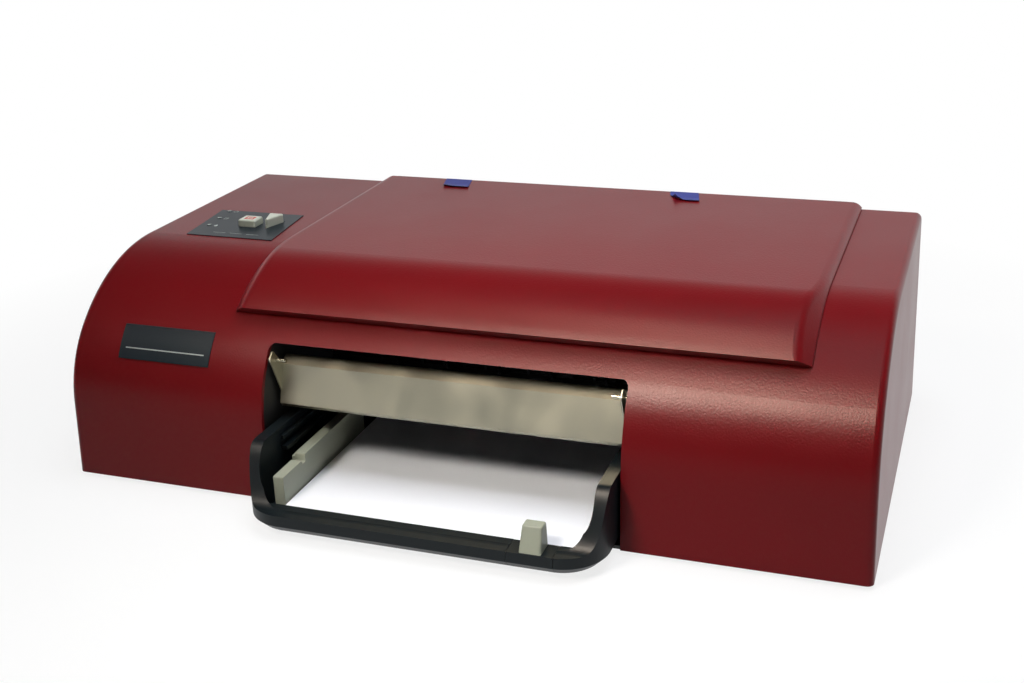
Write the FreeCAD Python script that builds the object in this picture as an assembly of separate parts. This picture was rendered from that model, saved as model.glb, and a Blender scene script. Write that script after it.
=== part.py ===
import FreeCAD, Part
import math
import os

# A desk printer: a moulded burgundy housing with a hinged lid, a front mouth with a paper tray
# and a swinging steel flap, and the printing mechanism under the lid.
# Millimetres. +X is the printer's right, -Y its front, +Z up. The origin lies on the table,
# under the middle of the whole outline.

# Housing
SIDE_BAY = 166.0
HOUSING_DEPTH = 320.0
HOUSING_HEIGHT = 157.0
SHELL_LIFT = 3.0
SHELL_WALL = 3.0
SIDE_DRAFT_ANGLE = 1.26
FRONT_RISE = 58.0
FRONT_LEAN = 2.7
BROW_RADIUS_SHARE = 0.889
CROWN_SHARE = 1.2525
REAR_EDGE_RADIUS = 8.0
SIDE_EDGE_RADIUS = 5.0
REAR_FLANGE = 14.0
REAR_FLANGE_CORNER = 6.0
MOUTH_HEIGHT_SHARE = 0.7261
MOUTH_CORNER = 5.0
BAY_CORNER = 8.0

# Clearances
OVERRUN = 20.0
SEAT_GAP = 0.3
RUN_GAP = 0.05
PARALLEL_SHARE = 0.9999

# Base pan and feet
FOOT_HEIGHT = 2.0
FOOT_RADIUS = 10.0
FOOT_INSET = 30.0
PAN_FLOOR = 2.5
PAN_WALL = 2.5
PAN_WALL_HEIGHT = 9.0

# Rear panel
PANEL_THICK = 2.5
VENT_COUNT = 14
VENT_PITCH = 9.0
VENT_WIDTH = 4.0
VENT_HEIGHT = 34.0
VENT_RISE = 78.0
PANEL_SCREW_RADIUS = 3.0
PANEL_SCREW_HEAD = 1.6
PANEL_SCREW_SHANK = 1.5
PANEL_SCREW_MARGIN = 8.0
INLET_WIDTH = 28.0
INLET_HEIGHT = 20.0
INLET_DEPTH = 22.0
INLET_FLANGE = 2.0
INLET_FLANGE_THICK = 1.8
INLET_WALL = 2.5
INLET_CHAMFER = 5.0
INLET_BLADE_WIDTH = 4.0
INLET_BLADE_THICK = 2.0
INLET_BLADE_SPREAD = 7.0
INLET_MARGIN = 60.0
INLET_RISE = 30.0
SOCKET_WIDTH = 12.0
SOCKET_HEIGHT = 11.0
SOCKET_DEPTH = 17.0
SOCKET_WALL = 1.0
SOCKET_TONGUE = 5.0
SOCKET_MARGIN = 100.0

# Front plate on the left of the mouth
PLATE_MARGIN = 43.0
PLATE_WIDTH = 77.0
PLATE_LOW_SHARE = 0.374
PLATE_HIGH_SHARE = 0.591
PLATE_GLUE = 0.2
PLATE_THICK = 0.8

# Liner of the mouth
LINER_WALL = 2.5
LINER_EXIT_GAP = 22.0
LINER_HEADROOM = 3.0

# Lid
LID_LEFT_MARGIN = 131.0
LID_RIGHT_MARGIN = 50.0
LID_FRONT_SHARE = 0.341
LID_CROWN_SHARE = 0.774
LID_BEND_SHARE = 0.657
LID_SWELL_SHARE = 0.05
LID_PROUD = 5.5
LID_GAP = 0.4
LID_SKIN = 2.5
LID_RIM = 5.0
LID_REAR_RIM = 10.0
LID_EDGE = 1.6
LID_EDGE_RADIUS = 9.0
LID_LAP = 18.0
BAY_FRONT_LAP = 20.7
BAY_REAR_LAP = 21.0
HINGE_INSET = 7.0
HINGE_LUG_WIDTH = 12.0
HINGE_LUG_RADIUS = 2.3
HINGE_PIN_RADIUS = 1.1
HINGE_PIN_LENGTH = 28.0
HINGE_LEFT = 71.0
HINGE_RIGHT = 145.0
TAPE_WIDTH = 24.0
TAPE_LENGTH = 26.0
TAPE_THICK = 0.3
TAPE_SKEW = 6.0

# Control panel
OVERLAY_MARGIN = 40.0
OVERLAY_WIDTH = 77.0
OVERLAY_FRONT = 125.0
OVERLAY_LENGTH = 69.0
OVERLAY_SKEW = 8.0
OVERLAY_THICK = 0.6
KEY_GAP = 0.4
KEY_TRAVEL = 1.0
KEY_FLANGE = 0.8
KEY_FLANGE_THICK = 1.5
KEY_EDGE_RADIUS = 1.2
KEY_STEM_RADIUS = 2.0
KEY_STEM_LENGTH = 5.0
KEY_SPACING = 3.25
STOP_KEY_WIDTH = 15.5
STOP_KEY_LENGTH = 14.0
STOP_KEY_RISE = 6.0
STOP_KEY_LEFT = 38.5
STOP_KEY_DEPTH = 35.5
FEED_KEY_WIDTH = 13.0
FEED_KEY_LENGTH = 21.0
FEED_KEY_RISE = 7.5
FEED_KEY_DEPTH = 38.0
LAMP_COUNT = 3
LAMP_RADIUS = 1.8
LAMP_PROUD = 0.4
LAMP_LEFT = 8.0
LAMP_DEPTH = 26.0
LAMP_PITCH = 20.0
KEY_BOARD_WIDTH = 64.0
KEY_BOARD_LENGTH = 52.0
BOARD_THICK = 1.6
SWITCH_SIZE = 6.0
SWITCH_HEIGHT = 4.0
SWITCH_GAP = 0.2
BOARD_POST_RADIUS = 3.0

# Exit flap
FLAP_SIDE_GAP = 3.0
FLAP_SHEET = 1.0
FLAP_PIVOT_DROP = 13.0
FLAP_SETBACK = 9.3
FLAP_DROP = 37.6
FLAP_HEM = 3.0
FLAP_HEM_BACK = 2.2
FLAP_FOOT_BACK = 0.8
FLAP_CREASE_DROP = 6.1
FLAP_CREASE_BACK = 8.0
FLAP_LIP_BACK = 16.0
FLAP_LIP_DROP = 1.6
EAR_NOSE_FRONT = 9.1
EAR_NOSE_RISE = 3.6
EAR_TOP_FRONT = 3.3
EAR_TOP_RISE = 8.4
EAR_TIP_BACK = 5.2
EAR_TIP_DROP = 31.3
EAR_CORNER_RADIUS = 1.5
FLAP_PIN_RADIUS = 1.5
FLAP_PIN_REACH = 8.0

# Paper tray
TRAY_REACH = 48.0
TRAY_SIDE_GAP = 2.0
TRAY_REAR_INSET = 64.0
TRAY_FLOOR = 2.5
TRAY_WALL = 9.0
TRAY_REAR_WALL = 3.0
TRAY_LIP = 17.0
TRAY_LIP_HEIGHT = 11.5
TRAY_RIM_DROP = 8.1
TRAY_REAR_HEIGHT = 13.0
TRAY_SWEEP_START = 6.0
TRAY_SWEEP_LENGTH = 30.0
TRAY_FALL_MARGIN = 22.0
TRAY_FALL_LENGTH = 24.0
TRAY_CORNER = 32.0
TRAY_INNER_CORNER = 8.0
TRAY_TUCK = 6.0
PAPER_STOP = 9.5
TRAY_LEDGE_COUNT = 2
TRAY_LEDGE_WIDTH = 2.5
TRAY_LEDGE_HEIGHT = 3.0
TRAY_LEDGE_DROP = 6.0
TRAY_LEDGE_PITCH = 8.0
TRAY_LEDGE_START = 8.0
TRAY_LEDGE_END = 8.0
GUIDE_SLOT_WIDTH = 6.0
GUIDE_SLOT_DEPTH = 40.0

# Paper and its guides
PAPER_WIDTH = 215.9
GUIDE_ROOM = 19.0
PAPER_STACK = 9.7
PAPER_EDGE_GAP = 0.8
WIDTH_GUIDE_WALL = 8.0
WIDTH_GUIDE_FRONT = 26.0
WIDTH_GUIDE_REAR_MARGIN = 14.0
WIDTH_GUIDE_HEIGHT = 30.0
WIDTH_GUIDE_STEP = 28.0
WIDTH_GUIDE_STEP_HEIGHT = 3.0
WIDTH_GUIDE_NOTCH = 5.0
WIDTH_GUIDE_NOTCH_DROP = 3.0
WIDTH_GUIDE_BACK = 3.0
WIDTH_GUIDE_LUG = 0.6
WIDTH_GUIDE_TRAVEL = 100.0
GUIDE_EDGE_RADIUS = 1.0
SLIDER_WIDTH = 32.0
SLIDER_RIGHT_MARGIN = 30.0
SLIDER_RUNNER_LENGTH = 108.0
SLIDER_RUNNER_THICK = 1.4
SLIDER_RUNNER_INSET = 2.0
LENGTH_GUIDE_WIDTH = 15.5
LENGTH_GUIDE_LENGTH = 16.0
LENGTH_GUIDE_HEIGHT = 17.0
LENGTH_GUIDE_TAPER = 0.7
LENGTH_GUIDE_SLOPE = 7.0
LENGTH_GUIDE_SETBACK = 1.0
LENGTH_GUIDE_RADIUS = 1.4

# Side frames and beam
FRAME_SHEET = 1.5
FRAME_OVER_BEAM = 5.0
FRAME_FRONT_INSET = 194.0
FRAME_REAR_INSET = 32.0
FRAME_CORNER = 14.0
FRAME_FOOT = 12.0
LEFT_FRAME_MARGIN = 22.0
RIGHT_FRAME_MARGIN = 62.0
BEAM_INSET = 74.0
BEAM_LOW = 61.0
BEAM_OVER_BELT = 19.5
BEAM_FLANGE = 9.0
BEAM_WINDOW_COUNT = 4
BEAM_WINDOW_LENGTH = 46.0
BEAM_WINDOW_HEIGHT = 12.0
BEAM_WINDOW_CORNER = 4.0

# Carriage and its drive
ROD_RADIUS = 4.5
ROD_INSET = 106.0
ROD_HEIGHT_SHARE = 0.5541
ROD_OVERHANG = 4.0
CARRIAGE_SIDE = 10.0
CARRIAGE_FRONT_INSET = 168.0
CARRIAGE_OVER_ROD = 19.0
CARRIAGE_FLOAT = 4.0
CARRIAGE_WALL = 3.0
CARRIAGE_FLOOR = 5.0
CARRIAGE_NOSE_DROP = 14.0
CARRIAGE_BLOCK = 12.0
CARRIAGE_REAR_GAP = 8.0
CLIP_WIDTH = 12.0
CLIP_HEIGHT = 6.0
CLIP_REACH = 5.0
CARTRIDGE_PROUD = 8.0
CARTRIDGE_GRIP = 9.0
CARTRIDGE_STEP = 7.0
CARTRIDGE_EDGE_RADIUS = 1.5
BELT_WIDTH = 5.0
BELT_THICK = 1.2
BELT_INSET = 89.0
BELT_RISE = 14.5
PULLEY_RADIUS = 7.5
PULLEY_FLANGE = 1.6
PULLEY_FLANGE_THICK = 0.9
PULLEY_TEETH = 18
PULLEY_GROOVE = 0.55
PULLEY_MARGIN = 16.0
STUD_RADIUS = 2.0
STUD_HEAD_RADIUS = 3.5
STUD_HEAD = 1.5
CARRIAGE_MOTOR_RADIUS = 15.0
CARRIAGE_MOTOR_LENGTH = 34.0
MOTOR_BOSS_RADIUS = 5.0
MOTOR_BOSS = 4.0
MOTOR_CAP_SHARE = 0.8
MOTOR_CAP_LENGTH = 3.0
SHAFT_BITE = 8.0
STRIP_THICK = 0.5
STRIP_HEIGHT = 7.0
STRIP_INSET = 78.5
STRIP_RISE = 1.0

# Feed path
PLATEN_FRONT_INSET = 167.0
PLATEN_REAR_INSET = 108.0
PLATEN_HEIGHT = 55.0
PLATEN_PLATE = 2.5
PLATEN_RIB = 1.6
PLATEN_RIB_HEIGHT = 3.0
PLATEN_RIB_PITCH = 18.0
PLATEN_SKIRT = 9.0
STATION_MARGIN = 6.0
STATION_CAP_WIDTH = 18.0
STATION_CAP_LENGTH = 26.0
STATION_CAP_WALL = 1.5
STATION_CAP_RISE = 1.6
STATION_WIPER = 1.2
STATION_WIPER_RISE = 2.6
FEED_INSET = 82.0
FEED_SHAFT_RADIUS = 4.0
FEED_HUB_RADIUS = 15.0
TYRE_RADIUS = 20.0
TYRE_WIDTH = 30.0
TYRE_COUNT = 4
TYRE_CHAMFER = 1.0
PICK_GAP = 1.0
SHAFT_OVERHANG = 4.0
GEAR_MODULE = 0.8
FEED_GEAR_TEETH = 54
PINION_TEETH = 18
GEAR_WIDTH = 6.0
GEAR_BACKLASH = 0.16
GEAR_WEB = 2.0
GEAR_HUB_RADIUS = 7.0
GEAR_RIM = 3.0
DEDENDUM_SHARE = 1.25
FLANK_STEPS = 4
GEAR_FRAME_GAP = 3.0
PRESSURE_ANGLE = 20.0
PINION_ANGLE = 20.0
FEED_MOTOR_RADIUS = 17.0
FEED_MOTOR_LENGTH = 32.0
PINION_SHAFT_RADIUS = 2.0
GUIDE_ARC_GAP = 3.5
GUIDE_ARC_WALL = 2.5
GUIDE_ARC_LOW = -35.0
GUIDE_ARC_HIGH = 60.0
PINCH_RADIUS = 5.0
PINCH_SHAFT_RADIUS = 1.5
PINCH_GAP = 0.4
PINCH_OFFSET = 2.0
PINCH_HOLDER_WIDTH = 8.0
PINCH_HOLDER_DROP = 2.4
PINCH_HOLDER_RISE = 7.0
EXIT_INSET = 180.0
EXIT_SHAFT_RADIUS = 3.0
EXIT_WHEEL_RADIUS = 7.0
EXIT_WHEEL_WIDTH = 12.0
EXIT_WHEEL_COUNT = 5
STAR_RADIUS = 7.0
STAR_POINTS = 12
STAR_NOTCH = 1.8
STAR_NOTCH_SHARE = 0.5
STAR_THICK = 1.6
STAR_SHAFT_RADIUS = 1.5
STAR_GAP = 0.4

# Electronics
SUPPLY_FRONT = 28.0
SUPPLY_REAR = 132.0
SUPPLY_HEIGHT = 52.0
SUPPLY_MARGIN = 8.0
SUPPLY_VENT_COUNT = 8
SUPPLY_VENT_WIDTH = 3.0
SUPPLY_VENT_DEPTH = 2.0
SUPPLY_EDGE_RADIUS = 2.5
MAIN_FRONT = 150.0
MAIN_REAR_GAP = 6.0
MAIN_POST_RADIUS = 3.5
MAIN_MARGIN = 8.0
CHIP_SIZE = 22.0
CHIP_HEIGHT = 2.0
CHIP_SHARES = (0.4, 0.62)
SINK_FIN_COUNT = 6
SINK_FIN = 1.2
SINK_PITCH = 4.0
SINK_LENGTH = 36.0
SINK_HEIGHT = 18.0
SINK_FOOT = 2.0
SINK_SHARE = 0.6
CAP_RADIUS = 5.0
CAP_HEIGHT = 14.0
CAP_COUNT = 3
CAP_PITCH = 15.0

V = FreeCAD.Vector
X_AXIS = V(1, 0, 0)
Y_AXIS = V(0, 1, 0)
Z_AXIS = V(0, 0, 1)

# Places that follow from the sizes above
FRONT_Y = (TRAY_REACH - HOUSING_DEPTH) / 2
REAR_Y = FRONT_Y + HOUSING_DEPTH
TOP_Z = SHELL_LIFT + HOUSING_HEIGHT
CEILING_Z = TOP_Z - SHELL_WALL
BROW_HEIGHT = HOUSING_HEIGHT - FRONT_RISE
CROWN_DEPTH = CROWN_SHARE * BROW_HEIGHT
TRAY_INNER = (GUIDE_ROOM + PAPER_EDGE_GAP + PAPER_WIDTH + PAPER_EDGE_GAP + PAPER_STOP) / 2
TRAY_HALF = TRAY_INNER + TRAY_WALL
MOUTH_HALF = TRAY_HALF + TRAY_SIDE_GAP
HALF_WIDTH = MOUTH_HALF + SIDE_BAY
MOUTH_TOP = SHELL_LIFT + HOUSING_HEIGHT * MOUTH_HEIGHT_SHARE
DRAFT = math.tan(math.radians(SIDE_DRAFT_ANGLE))
PAN_TOP = FOOT_HEIGHT + PAN_FLOOR
PANEL_Y = REAR_Y - SHELL_WALL - SEAT_GAP
MAIN_LOW = PAN_TOP + PAN_WALL_HEIGHT
MAIN_TOP = MAIN_LOW + BOARD_THICK
LID_FRONT_Y = FRONT_Y + LID_FRONT_SHARE * CROWN_DEPTH
LID_X = (LID_LEFT_MARGIN - HALF_WIDTH, HALF_WIDTH - LID_RIGHT_MARGIN)
BAY_X = (LID_X[0] + LID_LAP, LID_X[1] - LID_LAP)
HINGE_Y = REAR_Y - HINGE_INSET
KNUCKLE_RADIUS = (LID_PROUD - LID_GAP) / 2
HINGE_Z = TOP_Z + LID_GAP + KNUCKLE_RADIUS
HINGE_X = (LID_X[0] + HINGE_LEFT, LID_X[1] - HINGE_RIGHT)
OVERLAY_X = OVERLAY_MARGIN - HALF_WIDTH
OVERLAY_Y = FRONT_Y + OVERLAY_FRONT
STOP_KEY_X = OVERLAY_X + STOP_KEY_LEFT
FEED_KEY_X = STOP_KEY_X + STOP_KEY_WIDTH / 2 + KEY_SPACING + FEED_KEY_WIDTH / 2
TRAY_FRONT = FRONT_Y - TRAY_REACH
TRAY_BOTTOM = PAN_TOP + SEAT_GAP
TRAY_BED = TRAY_BOTTOM + TRAY_FLOOR
TRAY_RIM = MOUTH_TOP - FLAP_PIVOT_DROP - FLAP_DROP - TRAY_RIM_DROP
TRAY_LIP_TOP = TRAY_BED + TRAY_LIP_HEIGHT
TRAY_REAR = REAR_Y - TRAY_REAR_INSET
SLIDER_X = (TRAY_HALF - SLIDER_RIGHT_MARGIN - SLIDER_WIDTH, TRAY_HALF - SLIDER_RIGHT_MARGIN)
GUIDE_X = GUIDE_ROOM - TRAY_INNER
LEFT_FRAME = -MOUTH_HALF - LEFT_FRAME_MARGIN
RIGHT_FRAME = HALF_WIDTH - RIGHT_FRAME_MARGIN
FRAME_Y = (REAR_Y - FRAME_FRONT_INSET, REAR_Y - FRAME_REAR_INSET)
BETWEEN_FRAMES = (LEFT_FRAME + SEAT_GAP, RIGHT_FRAME - SEAT_GAP)
STATION_X = (MOUTH_HALF + STATION_MARGIN, RIGHT_FRAME - STATION_MARGIN)
PARK_X = sum(STATION_X) / 2
PLATEN_TOP = PAN_TOP + PLATEN_HEIGHT
ROD_Y = REAR_Y - ROD_INSET
ROD_Z = PAN_TOP + HOUSING_HEIGHT * ROD_HEIGHT_SHARE
CARRIAGE_LOW = PLATEN_TOP + CARRIAGE_FLOAT
CARRIAGE_HIGH = ROD_Z + CARRIAGE_OVER_ROD
CARRIAGE_FRONT = REAR_Y - CARRIAGE_FRONT_INSET
BELT_Y = REAR_Y - BELT_INSET
BELT_Z = ROD_Z + BELT_RISE
BEAM_Y = REAR_Y - BEAM_INSET
BEAM_TOP = BELT_Z + BEAM_OVER_BELT
FRAME_TOP = BEAM_TOP + FRAME_OVER_BEAM
IDLER_X = LEFT_FRAME + PULLEY_MARGIN
DRIVE_X = RIGHT_FRAME - PULLEY_MARGIN - SEAT_GAP
BELT_RADIUS = PULLEY_RADIUS + SEAT_GAP
FEED_Y = REAR_Y - FEED_INSET
FEED_Z = TRAY_BED + PAPER_STACK + PICK_GAP + TYRE_RADIUS
FEED_GEAR_X = (RIGHT_FRAME - GEAR_FRAME_GAP - GEAR_WIDTH, RIGHT_FRAME - GEAR_FRAME_GAP)
GEAR_CENTRES = GEAR_MODULE * (FEED_GEAR_TEETH + PINION_TEETH) / 2
PINION_Y = FEED_Y + GEAR_CENTRES * math.cos(math.radians(PINION_ANGLE))
PINION_Z = FEED_Z + GEAR_CENTRES * math.sin(math.radians(PINION_ANGLE))
PINCH_Y = FEED_Y - PINCH_OFFSET
PINCH_Z = FEED_Z + TYRE_RADIUS + PINCH_GAP + PINCH_RADIUS
EXIT_Y = REAR_Y - EXIT_INSET
LINER_REAR = EXIT_Y - LINER_EXIT_GAP
TRAY_FALL = LINER_REAR - TRAY_FALL_MARGIN
TYRE_PITCH = PAPER_WIDTH / TYRE_COUNT
EXIT_WHEEL_PITCH = PAPER_WIDTH / EXIT_WHEEL_COUNT
EXIT_Z = PLATEN_TOP - EXIT_WHEEL_RADIUS
STAR_Z = PLATEN_TOP + STAR_GAP + STAR_RADIUS


def around(centre, size):
    """The span of a size about its centre."""
    return (centre - size / 2, centre + size / 2)


def grown(span, amount):
    """A span made longer at both ends."""
    return (span[0] - amount, span[1] + amount)


def block(x, y, z):
    """A box between three spans."""
    return Part.makeBox(x[1] - x[0], y[1] - y[0], z[1] - z[0], V(x[0], y[0], z[0]))


def bar_x(x, y, z, radius):
    """A round bar along X."""
    return Part.makeCylinder(radius, x[1] - x[0], V(x[0], y, z), X_AXIS)


def bar_y(x, y, z, radius):
    """A round bar along Y."""
    return Part.makeCylinder(radius, y[1] - y[0], V(x, y[0], z), Y_AXIS)


def bar_z(x, y, z, radius):
    """A round bar along Z."""
    return Part.makeCylinder(radius, z[1] - z[0], V(x, y, z[0]), Z_AXIS)


def side_plate(points, x):
    """A plate between two X places whose outline is given as (y, z) points."""
    ring = [V(x[0], y, z) for y, z in points]
    return Part.Face(Part.makePolygon(ring + ring[:1])).extrude(V(x[1] - x[0], 0, 0))


def flat_plate(points, z):
    """A plate between two Z places whose outline is given as (x, y) points."""
    ring = [V(x, y, z[0]) for x, y in points]
    return Part.Face(Part.makePolygon(ring + ring[:1])).extrude(V(0, 0, z[1] - z[0]))


def joined(shapes):
    """Several touching solids made one."""
    return shapes[0].multiFuse(shapes[1:]).removeSplitter()


def edges_along(shape, axis):
    """The straight edges of a shape that run along an axis."""
    found = []
    for edge in shape.Edges:
        if isinstance(edge.Curve, Part.Line) and abs(edge.Curve.Direction.dot(axis)) > PARALLEL_SHARE:
            found.append(edge)
    return found


def rounded_along(shape, axis, radius):
    """A shape with all its straight edges along an axis rounded."""
    return shape.makeFillet(radius, edges_along(shape, axis))


def polar(centre, radius, angle):
    """A point (y, z) on a circle, the angle measured from +Y towards +Z."""
    return (centre[0] + radius * math.cos(angle), centre[1] + radius * math.sin(angle))


def save(name, *shapes):
    """Write one node, a single solid or a set of alike solids."""
    solids = [solid for shape in shapes for solid in shape.Solids]
    body = solids[0] if len(solids) == 1 else Part.makeCompound(solids)
    body.exportStep("parts/%s.step" % name)


def brow():
    """Centres and radii of the two arcs that carry the front over into the flat top."""
    lean = math.atan2(FRONT_LEAN, FRONT_RISE)
    low_radius = BROW_RADIUS_SHARE * (HOUSING_HEIGHT - FRONT_RISE)
    bend = (FRONT_Y + FRONT_LEAN, SHELL_LIFT + FRONT_RISE)
    low = (bend[0] + low_radius * math.cos(lean), bend[1] - low_radius * math.sin(lean))
    run = FRONT_Y + CROWN_DEPTH - low[0]
    climb = TOP_Z - low[1]
    high_radius = (run ** 2 + climb ** 2 - low_radius ** 2) / (2 * (climb - low_radius))
    high = (FRONT_Y + CROWN_DEPTH, TOP_Z - high_radius)
    return lean, low, low_radius, high, high_radius


LEAN, LOW_CENTRE, LOW_RADIUS, HIGH_CENTRE, HIGH_RADIUS = brow()
MEET_ANGLE = math.atan2(LOW_CENTRE[1] - HIGH_CENTRE[1], LOW_CENTRE[0] - HIGH_CENTRE[0])
BEND_ANGLE = math.pi - LEAN


def skin_depth(rise):
    """Y of the housing's front face at a height, on the lower arc or below it."""
    if rise < LOW_CENTRE[1] + LOW_RADIUS * math.sin(BEND_ANGLE):
        return FRONT_Y + (rise - SHELL_LIFT) * math.tan(LEAN)
    return LOW_CENTRE[0] - math.sqrt(LOW_RADIUS ** 2 - (rise - LOW_CENTRE[1]) ** 2)


def outline(offset, low, rear, rear_radius):
    """Side outline of the housing moved outward by an offset, as a face across X."""
    bend = polar(LOW_CENTRE, LOW_RADIUS + offset, BEND_ANGLE)
    low_mid = polar(LOW_CENTRE, LOW_RADIUS + offset, (BEND_ANGLE + MEET_ANGLE) / 2)
    meet = polar(HIGH_CENTRE, HIGH_RADIUS + offset, MEET_ANGLE)
    high_mid = polar(HIGH_CENTRE, HIGH_RADIUS + offset, (MEET_ANGLE + math.pi / 2) / 2)
    crown = polar(HIGH_CENTRE, HIGH_RADIUS + offset, math.pi / 2)
    toe = (bend[0] - (bend[1] - low) * math.tan(LEAN), low)
    heel_centre = (rear - rear_radius, crown[1] - rear_radius)
    turn = (heel_centre[0], crown[1])
    turn_mid = polar(heel_centre, rear_radius, math.pi / 4)
    back = (rear, heel_centre[1])
    heel = (rear, low)

    def at(point):
        return V(0, point[0], point[1])

    edges = [
        Part.LineSegment(at(toe), at(bend)),
        Part.Arc(at(bend), at(low_mid), at(meet)),
        Part.Arc(at(meet), at(high_mid), at(crown)),
        Part.LineSegment(at(crown), at(turn)),
        Part.Arc(at(turn), at(turn_mid), at(back)),
        Part.LineSegment(at(back), at(heel)),
        Part.LineSegment(at(heel), at(toe)),
    ]
    return Part.Face(Part.Wire([edge.toShape() for edge in edges]))


def skin_block(offset, low, x, rear=REAR_Y, rear_radius=REAR_EDGE_RADIUS):
    """The housing's outline, moved outward by an offset, drawn out between two X places."""
    face = outline(offset, low, rear, rear_radius)
    face.translate(V(x[0], 0, 0))
    return face.extrude(V(x[1] - x[0], 0, 0))


def drafted(inset, z):
    """A block that narrows upward as the housing's sides do, set in from them."""
    def half(height):
        return HALF_WIDTH - inset - (height - SHELL_LIFT) * DRAFT

    ring = [
        V(-half(z[0]), FRONT_Y - OVERRUN, z[0]),
        V(half(z[0]), FRONT_Y - OVERRUN, z[0]),
        V(half(z[1]), FRONT_Y - OVERRUN, z[1]),
        V(-half(z[1]), FRONT_Y - OVERRUN, z[1]),
    ]
    depth = HOUSING_DEPTH + OVERRUN + OVERRUN
    return Part.Face(Part.makePolygon(ring + ring[:1])).extrude(V(0, depth, 0))


def hollow(offset_inset, low, rear):
    """The space inside the housing, set in from its outer faces."""
    inner_radius = max(REAR_EDGE_RADIUS - offset_inset, SEAT_GAP)
    wide = (-HALF_WIDTH, HALF_WIDTH)
    body = skin_block(-offset_inset, low, wide, rear, inner_radius)
    return body.common(drafted(offset_inset, (low, TOP_Z)))


def stop_key_face(grow):
    """Plan of the square key, grown by a margin."""
    x = grown(around(STOP_KEY_X, STOP_KEY_WIDTH), grow)
    y = grown(around(OVERLAY_Y + STOP_KEY_DEPTH, STOP_KEY_LENGTH), grow)
    return [(x[0], y[0]), (x[1], y[0]), (x[1], y[1]), (x[0], y[1])]


def feed_key_face(grow):
    """Plan of the three-cornered key, its point to the front, grown by a margin."""
    y = around(OVERLAY_Y + FEED_KEY_DEPTH, FEED_KEY_LENGTH)
    half = FEED_KEY_WIDTH / 2
    slant = math.hypot(half, FEED_KEY_LENGTH)
    front = y[0] - grow * slant / half
    rear = y[1] + grow
    wide = half * (rear - front) / FEED_KEY_LENGTH
    return [(FEED_KEY_X, front), (FEED_KEY_X + wide, rear), (FEED_KEY_X - wide, rear)]


KEYS = {
    "stop_key": (stop_key_face, STOP_KEY_RISE),
    "feed_key": (feed_key_face, FEED_KEY_RISE),
}
KEY_FLANGE_TOP = CEILING_Z - SEAT_GAP
KEY_FLANGE_LOW = KEY_FLANGE_TOP - KEY_FLANGE_THICK
KEY_STEM_LOW = KEY_FLANGE_LOW - KEY_STEM_LENGTH
SWITCH_TOP = KEY_STEM_LOW - KEY_TRAVEL - SWITCH_GAP
KEY_BOARD_TOP = SWITCH_TOP - SWITCH_HEIGHT
KEY_BOARD_X = around((STOP_KEY_X + FEED_KEY_X) / 2, KEY_BOARD_WIDTH)
KEY_BOARD_Y = around(OVERLAY_Y + STOP_KEY_DEPTH, KEY_BOARD_LENGTH)


def key_centre(face):
    """Middle of a key's plan, where its stem stands."""
    points = face(0)
    return sum(p[0] for p in points) / len(points), sum(p[1] for p in points) / len(points)


def key_posts():
    """Posts that hang the key board from the housing's ceiling."""
    xs = grown(KEY_BOARD_X, -BOARD_POST_RADIUS)
    ys = grown(KEY_BOARD_Y, -BOARD_POST_RADIUS)
    z = (KEY_BOARD_TOP, CEILING_Z + SHELL_WALL / 2)
    return [bar_z(x, y, z, BOARD_POST_RADIUS) for x in xs for y in ys]


def bay_cut():
    """The opening in the housing's top that the lid covers."""
    front = LID_FRONT_Y + BAY_FRONT_LAP
    rear = HINGE_Y - BAY_REAR_LAP
    low = HIGH_CENTRE[1] + math.sqrt(HIGH_RADIUS ** 2 - (front - HIGH_CENTRE[0]) ** 2)
    z = (low - SHELL_WALL - OVERRUN, TOP_Z + OVERRUN)
    return rounded_along(block(BAY_X, (front, rear), z), Z_AXIS, BAY_CORNER)


def mouth_cut():
    """The opening in the housing's front, open at its foot, with rounded upper corners."""
    z = (-OVERRUN, MOUTH_TOP)
    y = (FRONT_Y - OVERRUN, skin_depth(MOUTH_TOP) + SHELL_WALL + OVERRUN)
    cutter = block((-MOUTH_HALF, MOUTH_HALF), y, z)
    upper = [edge for edge in edges_along(cutter, Y_AXIS) if edge.CenterOfMass.z > 0]
    return cutter.makeFillet(MOUTH_CORNER, upper)


def rear_cut():
    """The opening in the housing's rear that the rear panel fills from inside."""
    half = HALF_WIDTH - REAR_FLANGE - HOUSING_HEIGHT * DRAFT
    y = (REAR_Y - SHELL_WALL - SEAT_GAP, REAR_Y + OVERRUN)
    cutter = block((-half, half), y, (-OVERRUN, TOP_Z - REAR_FLANGE))
    upper = [edge for edge in edges_along(cutter, Y_AXIS) if edge.CenterOfMass.z > 0]
    return cutter.makeFillet(REAR_FLANGE_CORNER, upper)


def housing_shell():
    """Moulded cover: double-arc front, drafted sides, openings for mouth, lid bay, rear and keys."""
    wide = (-HALF_WIDTH, HALF_WIDTH)
    body = skin_block(0, SHELL_LIFT, wide).common(drafted(0, (SHELL_LIFT, TOP_Z)))
    side_edges = []
    for edge in body.Edges:
        middle = edge.valueAt((edge.FirstParameter + edge.LastParameter) / 2)
        side = HALF_WIDTH - (middle.z - SHELL_LIFT) * DRAFT
        if abs(abs(middle.x) - side) < SEAT_GAP and middle.z > SHELL_LIFT + SEAT_GAP:
            side_edges.append(edge)
    body = body.makeFillet(SIDE_EDGE_RADIUS, side_edges)
    body = body.cut(hollow(SHELL_WALL, -OVERRUN, REAR_Y - SHELL_WALL))
    body = body.fuse(key_posts())
    cutters = [mouth_cut(), bay_cut(), rear_cut()]
    for face, _ in KEYS.values():
        cutters.append(flat_plate(face(KEY_GAP), (CEILING_Z - OVERRUN, TOP_Z + OVERRUN)))
    return body.cut(cutters)


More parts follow.
